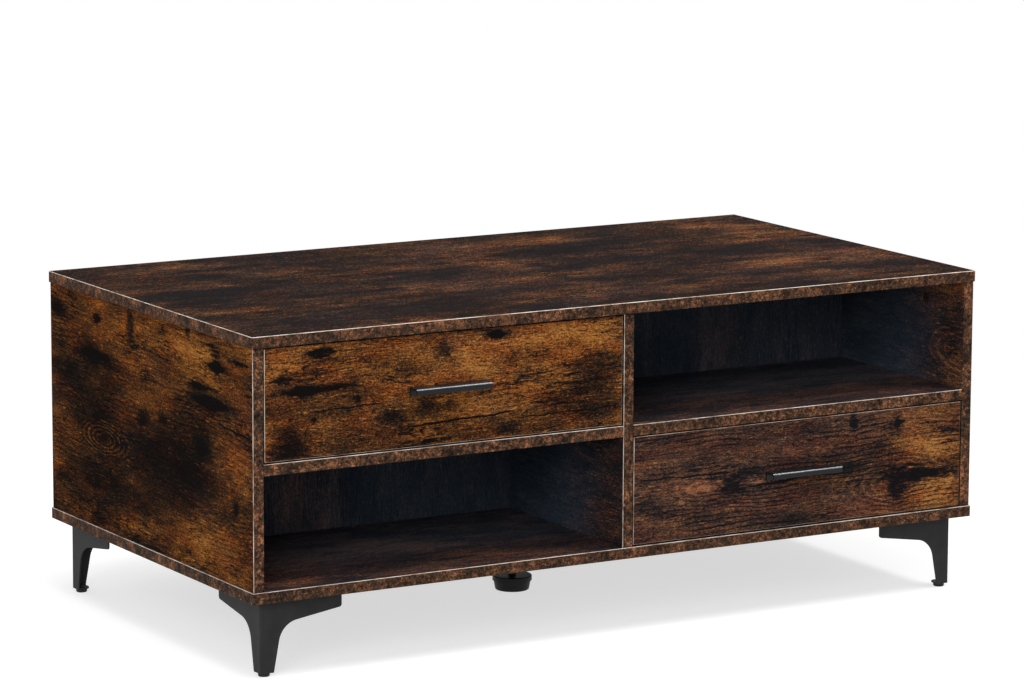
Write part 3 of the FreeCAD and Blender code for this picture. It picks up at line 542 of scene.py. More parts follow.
LOWER_FRONT = {
    "clouds": [
        (125, 18, 32, 14, -0.24),
        (146, -16, 24, 18, -0.26),
        (77, -2, 26, 12, -0.30),
        (241, -6, 34, 7, -0.17),
        (-147, 34, 120, 22, -0.14),
        (-79, 56, 60, 18, -0.26),
        (-200, 58, 110, 26, -0.20),
        (30, 56, 60, 18, -0.16),
        (-107, -12, 24, 8, -0.36),
        (-80, 10, 24, 7, -0.32),
        (-238, -24, 26, 16, -0.29),
        (-250, -66, 24, 18, -0.26),
        (-11, -63, 34, 14, -0.16),
        (-150, -6, 36, 10, 0.44),
        (-72, -7, 26, 7, 0.36),
        (218, 16, 60, 18, 0.34),
        (190, 50, 90, 30, 0.26),
        (226, -46, 50, 22, 0.24),
        (59, 54, 30, 11, 0.16),
        (-119, -38, 46, 7, 0.26),
        (-55, -43, 34, 5, 0.22),
        (-13, 29, 26, 7, 0.22),
        (-210, -48, 40, 6, 0.20),
        (40, -50, 110, 26, 0.10),
        (-40, -12, 60, 24, 0.07),
    ],
    "knots": [
        (158, 52, 9, 13, 0.42, 6),
        (86, 60, 8, 12, 0.42, 4),
        (190, -22, 36, 12, 0.54, 6),
        (158, -38, 16, 20, 0.42, 8),
        (-150, -6, 40, 14, 0.0, 14),
        (-60, -5, 44, 14, 0.0, 8),
    ],
    "eyes": [
        (-150, -6, 46, 15, 5, 0.12),
        (158, -30, 90, 34, 11, 0.12),
    ],
    "cracks": [
        ((-258, 12), (-100, 11), 1.5),
        ((-100, -14), (60, -2), 1.3),
    ],
    "golden": [
        (235, 10, 105, 150, 0.85),
    ],
}
LEFT_SIDE = {
    "clouds": [
        (274, 124, 24, 14, -0.42),
        (51, 131, 13, 32, -0.46),
        (119, 74, 24, 12, -0.30),
        (251, 46, 40, 18, -0.24),
        (15, 16, 20, 14, -0.34),
        (-42, 24, 16, 9, -0.34),
        (-159, 6, 30, 22, -0.40),
        (-119, 151, 9, 11, -0.36),
        (-251, -56, 10, 16, -0.32),
        (269, -105, 34, 12, -0.24),
        (170, -96, 34, 12, -0.22),
        (134, -32, 26, 8, -0.22),
        (-80, -30, 150, 62, -0.44),
        (155, 5, 150, 85, -0.24),
        (87, -94, 210, 40, -0.26),
        (-140, 112, 165, 62, 0.28),
        (175, 130, 100, 36, 0.14),
        (-215, -118, 90, 48, 0.14),
        (30, -130, 80, 16, 0.28),
        (-250, 9, 50, 26, 0.18),
        (-120, -112, 60, 18, 0.10),
    ],
    "knots": [
        (-180, 68, 60, 11, 0.80, 8),
        (-198, 116, 27, 10, 0.75, 6),
        (-144, 84, 30, 6, 0.60, 4),
        (-176, 86, 40, 3, 0.30, 0),
        (169, 77, 38, 10, 0.70, 6),
        (155, 127, 15, 8, 0.55, 0),
        (-186, 142, 20, 3, 0.50, 0),
        (-194, 136, 22, 2.5, 0.50, 0),
        (-198, 130, 16, 2.5, 0.50, 0),
        (-262, 131, 30, 3, 0.50, 0),
    ],
    "eyes": [
        (134, -32, 62, 20, 9, 0.22),
        (250, -20, 80, 44, 17, 0.045),
    ],
    "cracks": [
        ((-300, 40), (-195, 44), 1.5),
        ((-180, 30), (-40, 26), 1.0),
    ],
}
# the top's own patches: dark and brown clouds
TOP = {
    "clouds": [
        (-386, 143, 44, 34, -0.26),
        (-491, 1, 70, 60, -0.24),
        (-347, 237, 70, 34, 0.20),
        (-428, 89, 70, 28, 0.22),
        (-470, -110, 70, 28, 0.20),
        (-498, 240, 50, 38, 0.10),
        (-440, -230, 140, 70, -0.06),
        (207, 214, 70, 42, 0.24),
        (28, 38, 80, 52, 0.26),
        (134, 122, 90, 42, -0.24),
        (80, -12, 46, 32, -0.26),
        (-33, -79, 70, 32, 0.14),
        (459, 116, 100, 50, 0.22),
        (536, 229, 60, 30, -0.20),
        (356, 8, 80, 50, -0.28),
        (508, 30, 46, 26, -0.20),
        (500, -79, 80, 34, 0.34),
        (362, -108, 80, 54, 0.32),
        (419, -184, 46, 30, -0.20),
        (514, -184, 80, 46, -0.20),
        (322, -211, 100, 24, 0.26),
        (222, -241, 100, 32, -0.12),
        (60, -270, 220, 46, -0.10),
        (-330, -60, 340, 240, -0.06),
        (-60, -250, 480, 70, -0.06),
    ],
}

# the bays' own marks, and patches where their painted shade is lighter
RIGHT_BAY_WALL = {
    "clouds": [
        (-275, 55, 60, 44, 0.22),
        (-280, 125, 60, 28, -0.10),
    ],
    "eyes": [
        (-300, 58, 80, 34, 9, 0.13),
    ],
}
BAY_FLOOR = {
    "clouds": [
        (-250, -60, 60, 60, 0.22),
        (-60, -110, 200, 40, -0.06),
    ],
}
LOW_BAY_FLOOR = {
    "clouds": [
        (-440, -230, 120, 70, 0.20),
        (-60, -270, 90, 40, -0.10),
    ],
}
LEFT_BAY_BACK = {
    "clouds": [
        (-110, -15, 90, 26, 0.34),
        (-105, -80, 90, 40, 0.28),
    ],
    "less_shade": [
        (-105, -50, 120, 90, 0.30),
    ],
}
RIGHT_BAY_BACK = {
    "clouds": [
        (50, 55, 60, 50, 0.20),
    ],
    "less_shade": [
        (40, 60, 60, 60, 0.15),
    ],
}


def turned(marks):
    """The same marks on a board that lies the other way round."""
    result = {}
    for kind, rows in marks.items():
        if kind == "cracks":
            result[kind] = [((-end[0], -end[1]), (-start[0], -start[1]), width)
                            for start, end, width in rows]
        else:
            result[kind] = [(-along, -across, *rest) for along, across, *rest in rows]
    return result


# how each face looks, as far as it isn't plain
LOOKS = {
    "top": {"tone": 0.16, "contrast": 1.05, "rings": 0.06, "knot": 0.25, "russet": 0.46,
            "fine": 1.5, **TOP},
    "left_side": {"tone": 0.46, "contrast": 0.8, "rings": 0.16, "russet": 0.10, "fine": 0.8,
                  **LEFT_SIDE},
    "right_side": {"tone": 0.46, "contrast": 0.8, "rings": 0.16, "russet": 0.15, "fine": 0.8,
                   **turned(LEFT_SIDE)},
    "upper_front": {"tone": 0.595, "contrast": 0.85, "rings": 0.12, "russet": 0.16,
                    **UPPER_FRONT},
    # the lower front carries a touch of painted shade
    "lower_front": {"tone": 0.545, "contrast": 0.85, "rings": 0.40, "russet": 0.70, "painted_shade": 0.06,
                    "stretch": 1.2, **LOWER_FRONT},
    "back_upper": {"tone": 0.60, "contrast": 0.85, "rings": 0.12, "russet": 0.12,
                   **turned(UPPER_FRONT)},
    "back_lower": {"tone": 0.55, "contrast": 0.85, "rings": 0.40, "russet": 0.60, "stretch": 1.2,
                   **turned(LOWER_FRONT)},
    # faces inside the bays, under the boards and behind the drawer fronts: the print with painted
    # shade, deeper towards the back of a bay where given
    "inside": {"tone": 0.36, "rings": 0.08, "knot": 0.2, "russet": 0.4, "painted_shade": 0.12,
               "stretch": 1.3},
    "bay_back": {"tone": 0.40, "rings": 0.08, "knot": 0.2, "russet": 0.5, "painted_shade": 0.82,
                 "stretch": 1.3},
    "left_bay_back": {"tone": 0.40, "rings": 0.08, "russet": 0.8, "painted_shade": 0.82, "stretch": 1.3,
                      **LEFT_BAY_BACK},
    "right_bay_back": {"tone": 0.40, "rings": 0.08, "russet": 0.8, "painted_shade": 0.82, "stretch": 1.3,
                       **RIGHT_BAY_BACK},
    "bay_floor": {"tone": 0.31, "rings": 0.10, "knot": 0.2, "russet": 0.1, "painted_shade": 0.20,
                  "deep_painted_shade": 0.80, "deep_shade_tone": 0.30, "stretch": 1.3, **BAY_FLOOR},
    "low_bay_floor": {"tone": 0.31, "rings": 0.10, "knot": 0.2, "russet": 0.0, "painted_shade": 0.18,
                      "deep_painted_shade": 0.74, "deep_shade_tone": 0.22, "stretch": 1.3, **LOW_BAY_FLOOR},
    "bay_side": {"tone": 0.30, "rings": 0.10, "knot": 0.2, "russet": 0.2, "painted_shade": 0.15,
                 "deep_painted_shade": 0.92, "stretch": 1.3},
    "right_bay_wall": {"tone": 0.42, "rings": 0.10, "russet": 0.2, "painted_shade": 0.12,
                       "deep_painted_shade": 0.92, **RIGHT_BAY_WALL},
    "under": {"tone": 0.30, "rings": 0.08, "knot": 0.2, "russet": 0.5, "painted_shade": 0.3,
              "stretch": 1.3},
}

# each board: grain axis, thickness axis, look of its low face, look of its high face
BOARDS = {
    "top_panel": ("x", "z", "inside", "top"),
    "bottom_panel": ("x", "z", "under", "low_bay_floor"),
    "left_side_panel": ("y", "x", "left_side", "bay_side"),
    "right_side_panel": ("y", "x", "right_bay_wall", "right_side"),
    "centre_divider": ("y", "x", "bay_side", "bay_side"),
    "left_middle_board": ("z", "y", "left_bay_back", "bay_back"),
    "right_middle_board": ("z", "y", "right_bay_back", "bay_back"),
    "front_left_shelf": ("x", "z", "inside", "bay_floor"),
    "front_right_shelf": ("x", "z", "inside", "bay_floor"),
    "back_left_shelf": ("x", "z", "inside", "bay_floor"),
    "back_right_shelf": ("x", "z", "inside", "bay_floor"),
    "front_upper_drawer_front": ("x", "y", "upper_front", "inside"),
    "front_lower_drawer_front": ("x", "y", "lower_front", "inside"),
    "back_upper_drawer_front": ("x", "y", "inside", "back_upper"),
    "back_lower_drawer_front": ("x", "y", "inside", "back_lower"),
}

# the other materials: their noises, colours from dark to light, and gains

BAND_TONE, BAND_SPECULAR = 0.475, 0.02
BAND_PATCHES, BAND_PATCH_GAIN = even(40, 3, 0.6), 1.0
BAND_MOTTLE, BAND_MOTTLE_GAIN = even(170, 4, 0.7), 1.70
BAND_GRIT, BAND_GRIT_GAIN = even(480, 2, 0.65), 1.20
BAND_ROUGHNESS, BAND_GRIT_ROUGHNESS = 0.5, 0.3
BAND_RELIEF, BAND_RELIEF_DEPTH = 0.2, 0.2 * MM
BAND_COLOURS = [
    (0.12, srgb(30, 24, 20)),
    (0.40, srgb(60, 46, 37)),
    (0.56, srgb(86, 62, 47)),
    (0.70, srgb(122, 79, 54)),
    (0.92, srgb(172, 116, 82)),
]
# the pale line on the trimmed arrises: partly the band's trim, partly a painted highlight
LINE_MOTTLE, LINE_ROUGHNESS, LINE_SPECULAR = even(45, 4, 0.65), (0.4, 0.6), 0.2
LINE_COLOURS = [
    (0.34, srgb(120, 100, 86)),
    (0.50, srgb(188, 174, 160)),
    (0.66, srgb(216, 206, 194)),
]
CHIPS_IN_METRE, CHIP_GRAIN, CHIP_GRAIN_GAIN = 420.0, even(900), 0.4
CORE_ROUGHNESS, CORE_SPECULAR = (0.75, 0.95), 0.1
CORE_RELIEF, CORE_RELIEF_DEPTH = 0.5, 0.4 * MM
CORE_COLOURS = [
    (0.0, srgb(120, 92, 62)),
    (0.5, srgb(168, 135, 95)),
    (1.0, srgb(198, 168, 124)),
]
WALL_GRAIN, BOTTOM_GRAIN = ((26, 26, 420), 4, 0.6), ((14, 420, 14), 4, 0.6)
FOIL_CLOUD, FOIL_CLOUD_GAIN = ((9, 9, 20), 3, 0.5), 0.5
FOIL_SPECKS, FOIL_SPECK_GAIN = even(700), 0.25
FOIL_ROUGHNESS, FOIL_SPECULAR = (0.45, 0.62), 0.2
FOIL_RELIEF, FOIL_RELIEF_DEPTH = 0.2, 0.2 * MM
FOIL_COLOURS = [
    (0.30, srgb(34, 26, 21)),
    (0.50, srgb(56, 42, 33)),
    (0.72, srgb(78, 60, 46)),
]
COAT_CLOUD, COAT_CLOUD_ROUGHNESS = even(30, 4, 0.6), 0.12
COAT_PEEL_STRENGTH, COAT_PEEL_GAIN, COAT_PEEL_ROUGHNESS = 0.55, 0.4, 0.18
COAT_RELIEF_DEPTH = 0.15 * MM
COAT_STOPS = (0.32, 0.68)
PULL_DRAWN, PULL_CLOUD, PULL_CLOUD_GAIN = grained(30, 2600, 3, 0.6), even(40, 3), 0.4
PULL_NOSE_EDGES = (1.20, 1.38)            # the nose, glossier and painted lighter as a highlight: edges of the normal's outward part plus its upward part
PULL_NOSE_PATCH_EDGES, PULL_NOSE_PATCHES = (0.3, 0.6), (0.7, 1.0)
PULL_ROUGHNESS, PULL_NOSE_ROUGHNESS, PULL_SPECULAR = (0.20, 0.28), 0.06, (0.2, 1.0)
PULL_RELIEF, PULL_RELIEF_DEPTH = 0.08, 0.05 * MM
PULL_COLOURS = [(0.3, srgb(16, 17, 19)), (0.7, srgb(30, 31, 34))]
# painted highlight: the lighter colour along the pulls' nose
PULL_NOSE_HIGHLIGHT = srgb(74, 75, 78)
ZINC_CLOUD, ZINC_GRAIN, ZINC_GRAIN_GAIN = even(160, 4, 0.6), even(1500), 0.3
ZINC_ROUGHNESS, ZINC_RELIEF, ZINC_RELIEF_DEPTH = (0.28, 0.46), 0.1, 0.05 * MM
ZINC_COLOURS = [(0.3, srgb(150, 148, 140)), (0.7, srgb(196, 194, 186))]
NYLON_CLOUD, NYLON_ROUGHNESS = even(220, 4, 0.6), (0.34, 0.5)
NYLON_RELIEF, NYLON_RELIEF_DEPTH = 0.08, 0.1 * MM
NYLON_COLOURS = [(0.3, srgb(196, 192, 180)), (0.7, srgb(224, 221, 212))]
BEECH_FLECK, BEECH_ROUGHNESS = ((500, 500, 120), 3, 0.6), (0.55, 0.7)
BEECH_COLOURS = [(0.3, srgb(186, 142, 98)), (0.7, srgb(214, 174, 128))]
MIDDLE_EDGES = (0.3, 0.7)                 # where most of a noise lies


def band_material():
    """Edge band: a rust and grey mottle."""
    material, tree, shader = new_material("edge_band")
    place = tree.place()
    patches = tree.noise(place, BAND_PATCHES)
    mottle = tree.noise(place, BAND_MOTTLE)
    grit = tree.noise(place, BAND_GRIT)
    tone = tree.total(BAND_TONE, tree.centred(patches, BAND_PATCH_GAIN),
                      tree.centred(mottle, BAND_MOTTLE_GAIN), tree.centred(grit, BAND_GRIT_GAIN))
    shader.inputs["Specular IOR Level"].default_value = BAND_SPECULAR
    connect(tree, shader, Base_Color=tree.ramp(tone, BAND_COLOURS),
            Roughness=tree.total(BAND_ROUGHNESS, tree.centred(grit, BAND_GRIT_ROUGHNESS)),
            Normal=tree.bump(grit, BAND_RELIEF, BAND_RELIEF_DEPTH))
    return material


def line_material():
    """The pale line on a trimmed arris: partly the band's trim, partly a painted highlight."""
    material, tree, shader = new_material("band_trim_line_and_highlight")
    line_mottle = tree.noise(tree.place(), LINE_MOTTLE)
    shader.inputs["Specular IOR Level"].default_value = LINE_SPECULAR
    connect(tree, shader, Base_Color=tree.ramp(line_mottle, LINE_COLOURS),
            Roughness=tree.smooth(line_mottle, MIDDLE_EDGES, LINE_ROUGHNESS))
    return material


def core_material():
    """Particle board, where a bore or groove opens it."""
    material, tree, shader = new_material("particle_board")
    place = tree.place()
    chips = tree.add("TexVoronoi", {"Vector": place, "Scale": CHIPS_IN_METRE}).outputs["Color"]
    grain = tree.centred(tree.noise(place, CHIP_GRAIN), CHIP_GRAIN_GAIN)
    shade = tree.total(tree.parts(chips)["X"], grain)
    shader.inputs["Specular IOR Level"].default_value = CORE_SPECULAR
    connect(tree, shader, Base_Color=tree.ramp(shade, CORE_COLOURS),
            Roughness=tree.smooth(shade, (0.0, 1.0), CORE_ROUGHNESS),
            Normal=tree.bump(shade, CORE_RELIEF, CORE_RELIEF_DEPTH))
    return material


def foil_material(name, grain):
    """Dark brown paper foil on the drawer boxes."""
    material, tree, shader = new_material(name)
    place = tree.place()
    lines = tree.noise(place, grain)
    cloud = tree.noise(place, FOIL_CLOUD)
    specks = tree.noise(place, FOIL_SPECKS)
    tone = tree.total(lines, tree.centred(cloud, FOIL_CLOUD_GAIN),
                      tree.centred(specks, FOIL_SPECK_GAIN))
    shader.inputs["Specular IOR Level"].default_value = FOIL_SPECULAR
    connect(tree, shader, Base_Color=tree.ramp(tone, FOIL_COLOURS),
            Roughness=tree.smooth(lines, MIDDLE_EDGES, FOIL_ROUGHNESS),
            Normal=tree.bump(tone, FOIL_RELIEF, FOIL_RELIEF_DEPTH))
    return material


def coat_material(name, dark, light, roughness, grain, relief, specular):
    """A dark coat or moulding: cloudy shade, fine peel."""
    material, tree, shader = new_material(name)
    place = tree.place()
    cloud = tree.noise(place, COAT_CLOUD)
    peel = tree.noise(place, even(grain, strength=COAT_PEEL_STRENGTH))
    shade = tree.total(cloud, tree.centred(peel, COAT_PEEL_GAIN))
    shader.inputs["Specular IOR Level"].default_value = specular
    connect(tree, shader, Base_Color=tree.ramp(shade, list(zip(COAT_STOPS, (dark, light)))),
            Roughness=tree.total(roughness, tree.centred(peel, COAT_PEEL_ROUGHNESS),
                                 tree.centred(cloud, COAT_CLOUD_ROUGHNESS)),
            Normal=tree.bump(peel, relief, COAT_RELIEF_DEPTH))
    return material


def pull_material():
    """Satin black coat of the pulls, drawn along their length, glossier along the nose and
    lighter there as a painted highlight.
    """
    material, tree, shader = new_material("satin_black_pull")
    coordinates = tree.add("TexCoord", {}).outputs
    drawn = tree.noise(coordinates["Object"], PULL_DRAWN)
    cloud = tree.noise(coordinates["Object"], PULL_CLOUD)
    normal = tree.parts(coordinates["Normal"])
    rise = tree.total(tree.math("ABSOLUTE", normal["Y"]), normal["Z"])
    # the nose, in patches: glossier, and painted lighter as a highlight
    nose = tree.product(tree.smooth(rise, PULL_NOSE_EDGES),
                        tree.smooth(cloud, PULL_NOSE_PATCH_EDGES, PULL_NOSE_PATCHES))
    coat = tree.ramp(tree.total(drawn, tree.centred(cloud, PULL_CLOUD_GAIN)), PULL_COLOURS)
    roughness = tree.total(tree.smooth(drawn, MIDDLE_EDGES, PULL_ROUGHNESS),
                           tree.product(nose, PULL_NOSE_ROUGHNESS))
    connect(tree, shader, Base_Color=tree.mix(nose, coat, PULL_NOSE_HIGHLIGHT), Roughness=roughness,
            Specular_IOR_Level=tree.smooth(nose, (0.0, 1.0), PULL_SPECULAR),
            Normal=tree.bump(drawn, PULL_RELIEF, PULL_RELIEF_DEPTH))
    return material


def zinc_material():
    """Zinc plating with cloudy passivation."""
    material, tree, shader = new_material("zinc_plating")
    place = tree.place()
    cloud = tree.noise(place, ZINC_CLOUD)
    grain = tree.noise(place, ZINC_GRAIN)
    shade = tree.total(cloud, tree.centred(grain, ZINC_GRAIN_GAIN))
    shader.inputs["Metallic"].default_value = 1.0
    connect(tree, shader, Base_Color=tree.ramp(shade, ZINC_COLOURS),
            Roughness=tree.smooth(cloud, MIDDLE_EDGES, ZINC_ROUGHNESS),
            Normal=tree.bump(grain, ZINC_RELIEF, ZINC_RELIEF_DEPTH))
    return material


def nylon_material():
    """Moulded nylon of the rollers, a little cloudy."""
    material, tree, shader = new_material("roller_nylon")
    cloud = tree.noise(tree.place(), NYLON_CLOUD)
    connect(tree, shader, Base_Color=tree.ramp(cloud, NYLON_COLOURS),
            Roughness=tree.smooth(cloud, MIDDLE_EDGES, NYLON_ROUGHNESS),
            Normal=tree.bump(cloud, NYLON_RELIEF, NYLON_RELIEF_DEPTH))
    return material


def beech_material():
    """Beech of the dowels, with flecks along the grain."""
    material, tree, shader = new_material("beech_dowel")
    fleck = tree.noise(tree.place(), BEECH_FLECK)
    connect(tree, shader, Base_Color=tree.ramp(fleck, BEECH_COLOURS),
            Roughness=tree.smooth(fleck, MIDDLE_EDGES, BEECH_ROUGHNESS))
    return material


BAND = band_material()
LINE = line_material()
CORE = core_material()
WALL_FOIL = foil_material("drawer_wall_foil", WALL_GRAIN)
BOTTOM_FOIL = foil_material("drawer_bottom_foil", BOTTOM_GRAIN)
POWDER_COAT = coat_material("black_powder_coat", dark=srgb(39, 39, 40), light=srgb(51, 51, 52),
                            roughness=0.56, grain=1500, relief=0.25, specular=0.12)
RUNNER_COAT = coat_material("runner_coat", dark=srgb(28, 28, 29), light=srgb(44, 44, 46),
                            roughness=0.36, grain=2200, relief=0.12, specular=0.5)
BLACK_PLASTIC = coat_material("black_plastic", dark=srgb(18, 18, 19), light=srgb(30, 30, 31),
                              roughness=0.50, grain=1100, relief=0.18, specular=0.25)
PULL_COAT = pull_material()
ZINC = zinc_material()
CAM_BROWN = coat_material("brown_cam_coat", dark=srgb(44, 34, 29), light=srgb(58, 44, 36),
                          roughness=0.60, grain=900, relief=0.15, specular=0.10)
NYLON = nylon_material()
BEECH = beech_material()


# boards

ARRIS_WIDTH = 0.7 * MM
SAME_POINT = 1e-6
ON_FACE = 2e-5
SMOOTH_ANGLE = math.radians(30)
SQUARE = 0.99                             # part of a normal that counts as along an axis
SLIGHT = 0.01                             # part of a normal that counts as none
LEANS = 0.5                               # part of a normal that counts as towards a side
# places in a board's list of materials, after its two prints
BAND_INDEX, LINE_INDEX, CORE_INDEX = 2, 3, 4


def trim_arris(mesh, low, high, axes, signs):
    """Cuts one arris of the board off at 45 degrees and closes the cut."""
    normal = Vector((0, 0, 0))
    point = (low + high) / 2
    for axis, sign in zip(axes, signs):
        normal[axis] = sign
        point[axis] = high[axis] if sign > 0 else low[axis]
    point[axes[0]] -= signs[0] * ARRIS_WIDTH
    everything = list(mesh.verts) + list(mesh.edges) + list(mesh.faces)
    bmesh.ops.bisect_plane(mesh, geom=everything, dist=SAME_POINT, plane_co=point,
                           plane_no=normal.normalized(), clear_outer=True)
    open_edges = [edge for edge in mesh.edges if edge.is_boundary]
    bmesh.ops.holes_fill(mesh, edges=open_edges, sides=0)


def board_mesh(node):
    """The node's solid with its twelve outer arrises trimmed."""
    low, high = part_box(node)
    mesh = bmesh.new()
    mesh.from_mesh(frame["nodes"][node].data)
    bmesh.ops.remove_doubles(mesh, verts=mesh.verts, dist=SAME_POINT)
    for axes in ((0, 1), (0, 2), (1, 2)):
        for signs in ((-1, -1), (-1, 1), (1, -1), (1, 1)):
            trim_arris(mesh, low, high, axes, signs)
    bmesh.ops.recalc_face_normals(mesh, faces=mesh.faces)
    mesh.normal_update()
    return mesh


def is_trim(face):
    """True for a face at 45 degrees between two axes."""
    parts = sorted(abs(part) for part in face.normal)
    return parts[0] < SLIGHT and abs(parts[1] - parts[2]) < SLIGHT


def shows_lit_line(node, normal):
    """True where the trimmed arris with this normal shows the pale line rather than the band:
    only where it faces up or outward, not where it lies in shade, so the line is partly a painted
    highlight.
    """
    if node.endswith("drawer_front"):
        shaded = "upper" in node and normal.z > LEANS
        outward = normal.y * (-1 if node.startswith("front") else 1)
        return outward > LEANS and not shaded
    if node.endswith("side_panel"):
        outward = normal.x * (-1 if node.startswith("left") else 1)
        return outward > LEANS and abs(normal.y) > LEANS
    if node == "centre_divider":
        return normal.x * normal.y > LEANS ** 2
    return normal.z > LEANS


def face_side(face, low, high, axis):
    """Which side of the box a face lies on: -1 low, 1 high, 0 neither."""
    level = face.calc_center_median()[axis]
    if abs(face.normal[axis]) < SQUARE:
        return 0
    if abs(level - low[axis]) < ON_FACE:
        return -1
    return 1 if abs(level - high[axis]) < ON_FACE else 0


def finish_piece(mesh, name, node, materials):
    """Turns a mesh into a piece that stands for the node, on the node's body."""
    data = bpy.data.meshes.new(name)
    mesh.to_mesh(data)
    mesh.free()
    for material in materials:
        data.materials.append(material)
    data.attributes.remove(data.attributes["custom_normal"])
    data.set_sharp_from_angle(angle=SMOOTH_ANGLE)
    for polygon in data.polygons:
        polygon.use_smooth = polygon.material_index == CORE_INDEX
    piece = bpy.data.objects.new(name, data)
    bpy.context.scene.collection.objects.link(piece)
    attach(piece, frame["nodes"][node]["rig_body"])
    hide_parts(node)


def make_board(number, node):
    """A board with its two prints, which carry painted shade in the bays, its bands, their pale
    lines, partly painted highlights, and the core in its bores.
    """
    grain_name, thick_name, low_look, high_look = BOARDS[node]
    grain, thick = AXES[grain_name], AXES[thick_name]
    across = third_axis(grain, thick)
    low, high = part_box(node)
    centre = (low + high) / 2
    materials = []
    for side, look, seed in (("low", low_look, number), ("high", high_look, number + 0.5)):
        name = f"{node}_{side}_print"
        materials.append(print_material(name, centre, grain, across, seed, LOOKS[look]))
    materials += [BAND, LINE, CORE]
    mesh = board_mesh(node)
    for face in mesh.faces:
        side = face_side(face, low, high, thick)
        if is_trim(face):
            # the pale line, partly a painted highlight, only on arrises that face the light
            face.material_index = LINE_INDEX if shows_lit_line(node, face.normal) else BAND_INDEX
        elif side:
            face.material_index = 0 if side < 0 else 1
        elif any(face_side(face, low, high, axis) for axis in (grain, across)):
            face.material_index = BAND_INDEX
        else:
            face.material_index = CORE_INDEX
    finish_piece(mesh, node + "_board", node, materials)


for number, board in enumerate(BOARDS, start=1):
    make_board(number, board)


def dress(node, material):
    """Gives a CAD node its material."""
    shape = frame["nodes"][node]
    shape.data.materials.clear()
    shape.data.materials.append(material)


for name in ("front_left_leg", "front_right_leg", "back_right_leg", "back_left_leg"):
    dress(name, POWDER_COAT)
for name in ("leg_glides", "support_leg", "support_foot"):
    dress(name, BLACK_PLASTIC)
for name in ("cam_bolts", "frame_screws", "panel_screws"):
    dress(name, ZINC)
dress("cam_locks", CAM_BROWN)
dress("dowels", BEECH)
dress("cabinet_runners", RUNNER_COAT)
for drawer in DRAWERS:
    dress(f"{drawer}_drawer_sides", WALL_FOIL)
    dress(f"{drawer}_drawer_back", WALL_FOIL)
    dress(f"{drawer}_drawer_bottom", BOTTOM_FOIL)
    dress(f"{drawer}_drawer_handle", PULL_COAT)
    dress(f"{drawer}_drawer_runners", RUNNER_COAT)
    dress(f"{drawer}_drawer_fasteners", ZINC)
    dress(f"{drawer}_drawer_rollers", NYLON)
    dress(f"{drawer}_cabinet_rollers", NYLON)


# floor, light and camera

FLOOR_REACH = 60.0
FLOOR_COLOUR = 0.48
FLOOR_ROUGHNESS = 0.8
FLOOR_GLOW = 0.65
FLOOR_FADE = (0.8, 1.8)                   # distances between which the floor turns plain white
WORLD_LEVEL = 0.40
# each lamp: place, target, length and width, power
LAMPS = {
    "overhead": ((-0.5, -0.5, 3.2), (0, 0, 0.2), (1.8, 1.4), 70),
    "right_edge": ((1.75, -1.0, 3.1), (0, -0.3, 0.25), (1.6, 0.5), 56),
    "front_left": ((-3.2, -3.2, 2.0), (0, 0, 0.25), (2.4, 2.0), 80),
}
CAMERA_PLACE = (-3.1024, -5.2994, 1.4144)
CAMERA_AZIMUTH = math.radians(30.332)
CAMERA_DROP = math.radians(9.948)
CAMERA_ROLL = math.radians(-0.246)
CAMERA_LENS, CAMERA_SENSOR = 161.76, 36   # mm
CAMERA_REACH = 100


def seen_by(tree):
    """1 for camera, glossy and transmission rays, otherwise 0."""
    paths = tree.add("LightPath", {}).outputs
    mirrored = tree.math("MAXIMUM", paths["Is Glossy Ray"], paths["Is Transmission Ray"])
    return tree.math("MAXIMUM", paths["Is Camera Ray"], mirrored)


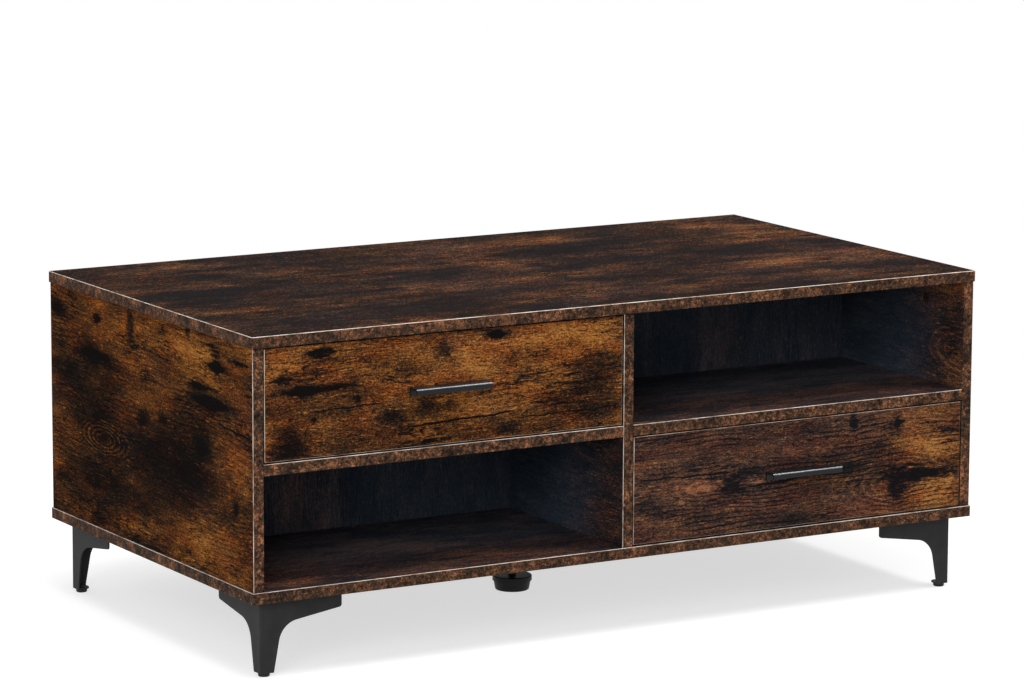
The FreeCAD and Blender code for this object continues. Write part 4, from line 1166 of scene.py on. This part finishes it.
def make_floor():
    """A pale floor that keeps the shadow near the table and is plain white further out."""
    mesh = bmesh.new()
    corners = ((-1, -1), (1, -1), (1, 1), (-1, 1))
    mesh.faces.new([mesh.verts.new((x * FLOOR_REACH, y * FLOOR_REACH, 0)) for x, y in corners])
    data = bpy.data.meshes.new("studio_floor")
    mesh.to_mesh(data)
    mesh.free()
    material, tree, shader = new_material("studio_floor")
    away = tree.length(tree.place())
    seen = seen_by(tree)
    white = tree.product(tree.smooth(away, FLOOR_FADE), seen)
    level = tree.product(tree.math("SUBTRACT", 1.0, white), FLOOR_COLOUR)
    glow = tree.total(tree.product(seen, FLOOR_GLOW), tree.product(white, 1.0 - FLOOR_GLOW))
    shader.inputs["Roughness"].default_value = FLOOR_ROUGHNESS
    shader.inputs["Specular IOR Level"].default_value = 0.0
    shader.inputs["Emission Color"].default_value = WHITE
    colour = tree.add("CombineColor", {0: level, 1: level, 2: level}).outputs[0]
    connect(tree, shader, Base_Color=colour, Emission_Strength=glow)
    data.materials.append(material)
    floor = bpy.data.objects.new("studio_floor", data)
    bpy.context.scene.collection.objects.link(floor)


def make_world():
    """Soft light from all round, seen as plain white."""
    world = bpy.data.worlds.new("studio")
    world.use_nodes = True
    tree = Tree(world.node_tree)
    level = tree.smooth(seen_by(tree), (0.0, 1.0), (WORLD_LEVEL, 1.0))
    background = world.node_tree.nodes["Background"]
    tree.feed(background, {"Color": WHITE, "Strength": level})
    bpy.context.scene.world = world


def make_lamp(name, place, target, size, power):
    """A rectangular lamp that points at its target."""
    lamp = bpy.data.lights.new(name, "AREA")
    lamp.shape = "RECTANGLE"
    lamp.size, lamp.size_y = size
    lamp.energy = power
    holder = bpy.data.objects.new(name, lamp)
    holder.location = place
    ahead = Vector(target) - Vector(place)
    holder.rotation_euler = ahead.to_track_quat("-Z", "Y").to_euler()
    bpy.context.scene.collection.objects.link(holder)


def make_camera():
    """The camera at the photograph's viewing angle."""
    ahead = Vector((math.sin(CAMERA_AZIMUTH) * math.cos(CAMERA_DROP),
                    math.cos(CAMERA_AZIMUTH) * math.cos(CAMERA_DROP), -math.sin(CAMERA_DROP)))
    right = Vector((math.cos(CAMERA_AZIMUTH), -math.sin(CAMERA_AZIMUTH), 0))
    down = ahead.cross(right)
    turned_right = right * math.cos(CAMERA_ROLL) + down * math.sin(CAMERA_ROLL)
    turned_down = down * math.cos(CAMERA_ROLL) - right * math.sin(CAMERA_ROLL)
    camera = bpy.data.objects.new("camera", bpy.data.cameras.new("camera"))
    camera.data.lens = CAMERA_LENS
    camera.data.sensor_width = CAMERA_SENSOR
    camera.data.sensor_fit = "HORIZONTAL"
    camera.data.clip_end = CAMERA_REACH
    turn = Matrix((turned_right, -turned_down, -ahead)).transposed()
    camera.matrix_world = Matrix.Translation(CAMERA_PLACE) @ turn.to_4x4()
    bpy.context.scene.collection.objects.link(camera)
    bpy.context.scene.camera = camera


make_floor()
make_world()
for name, lamp in LAMPS.items():
    make_lamp(name, *lamp)
make_camera()
bpy.context.scene.view_settings.view_transform = "Standard"
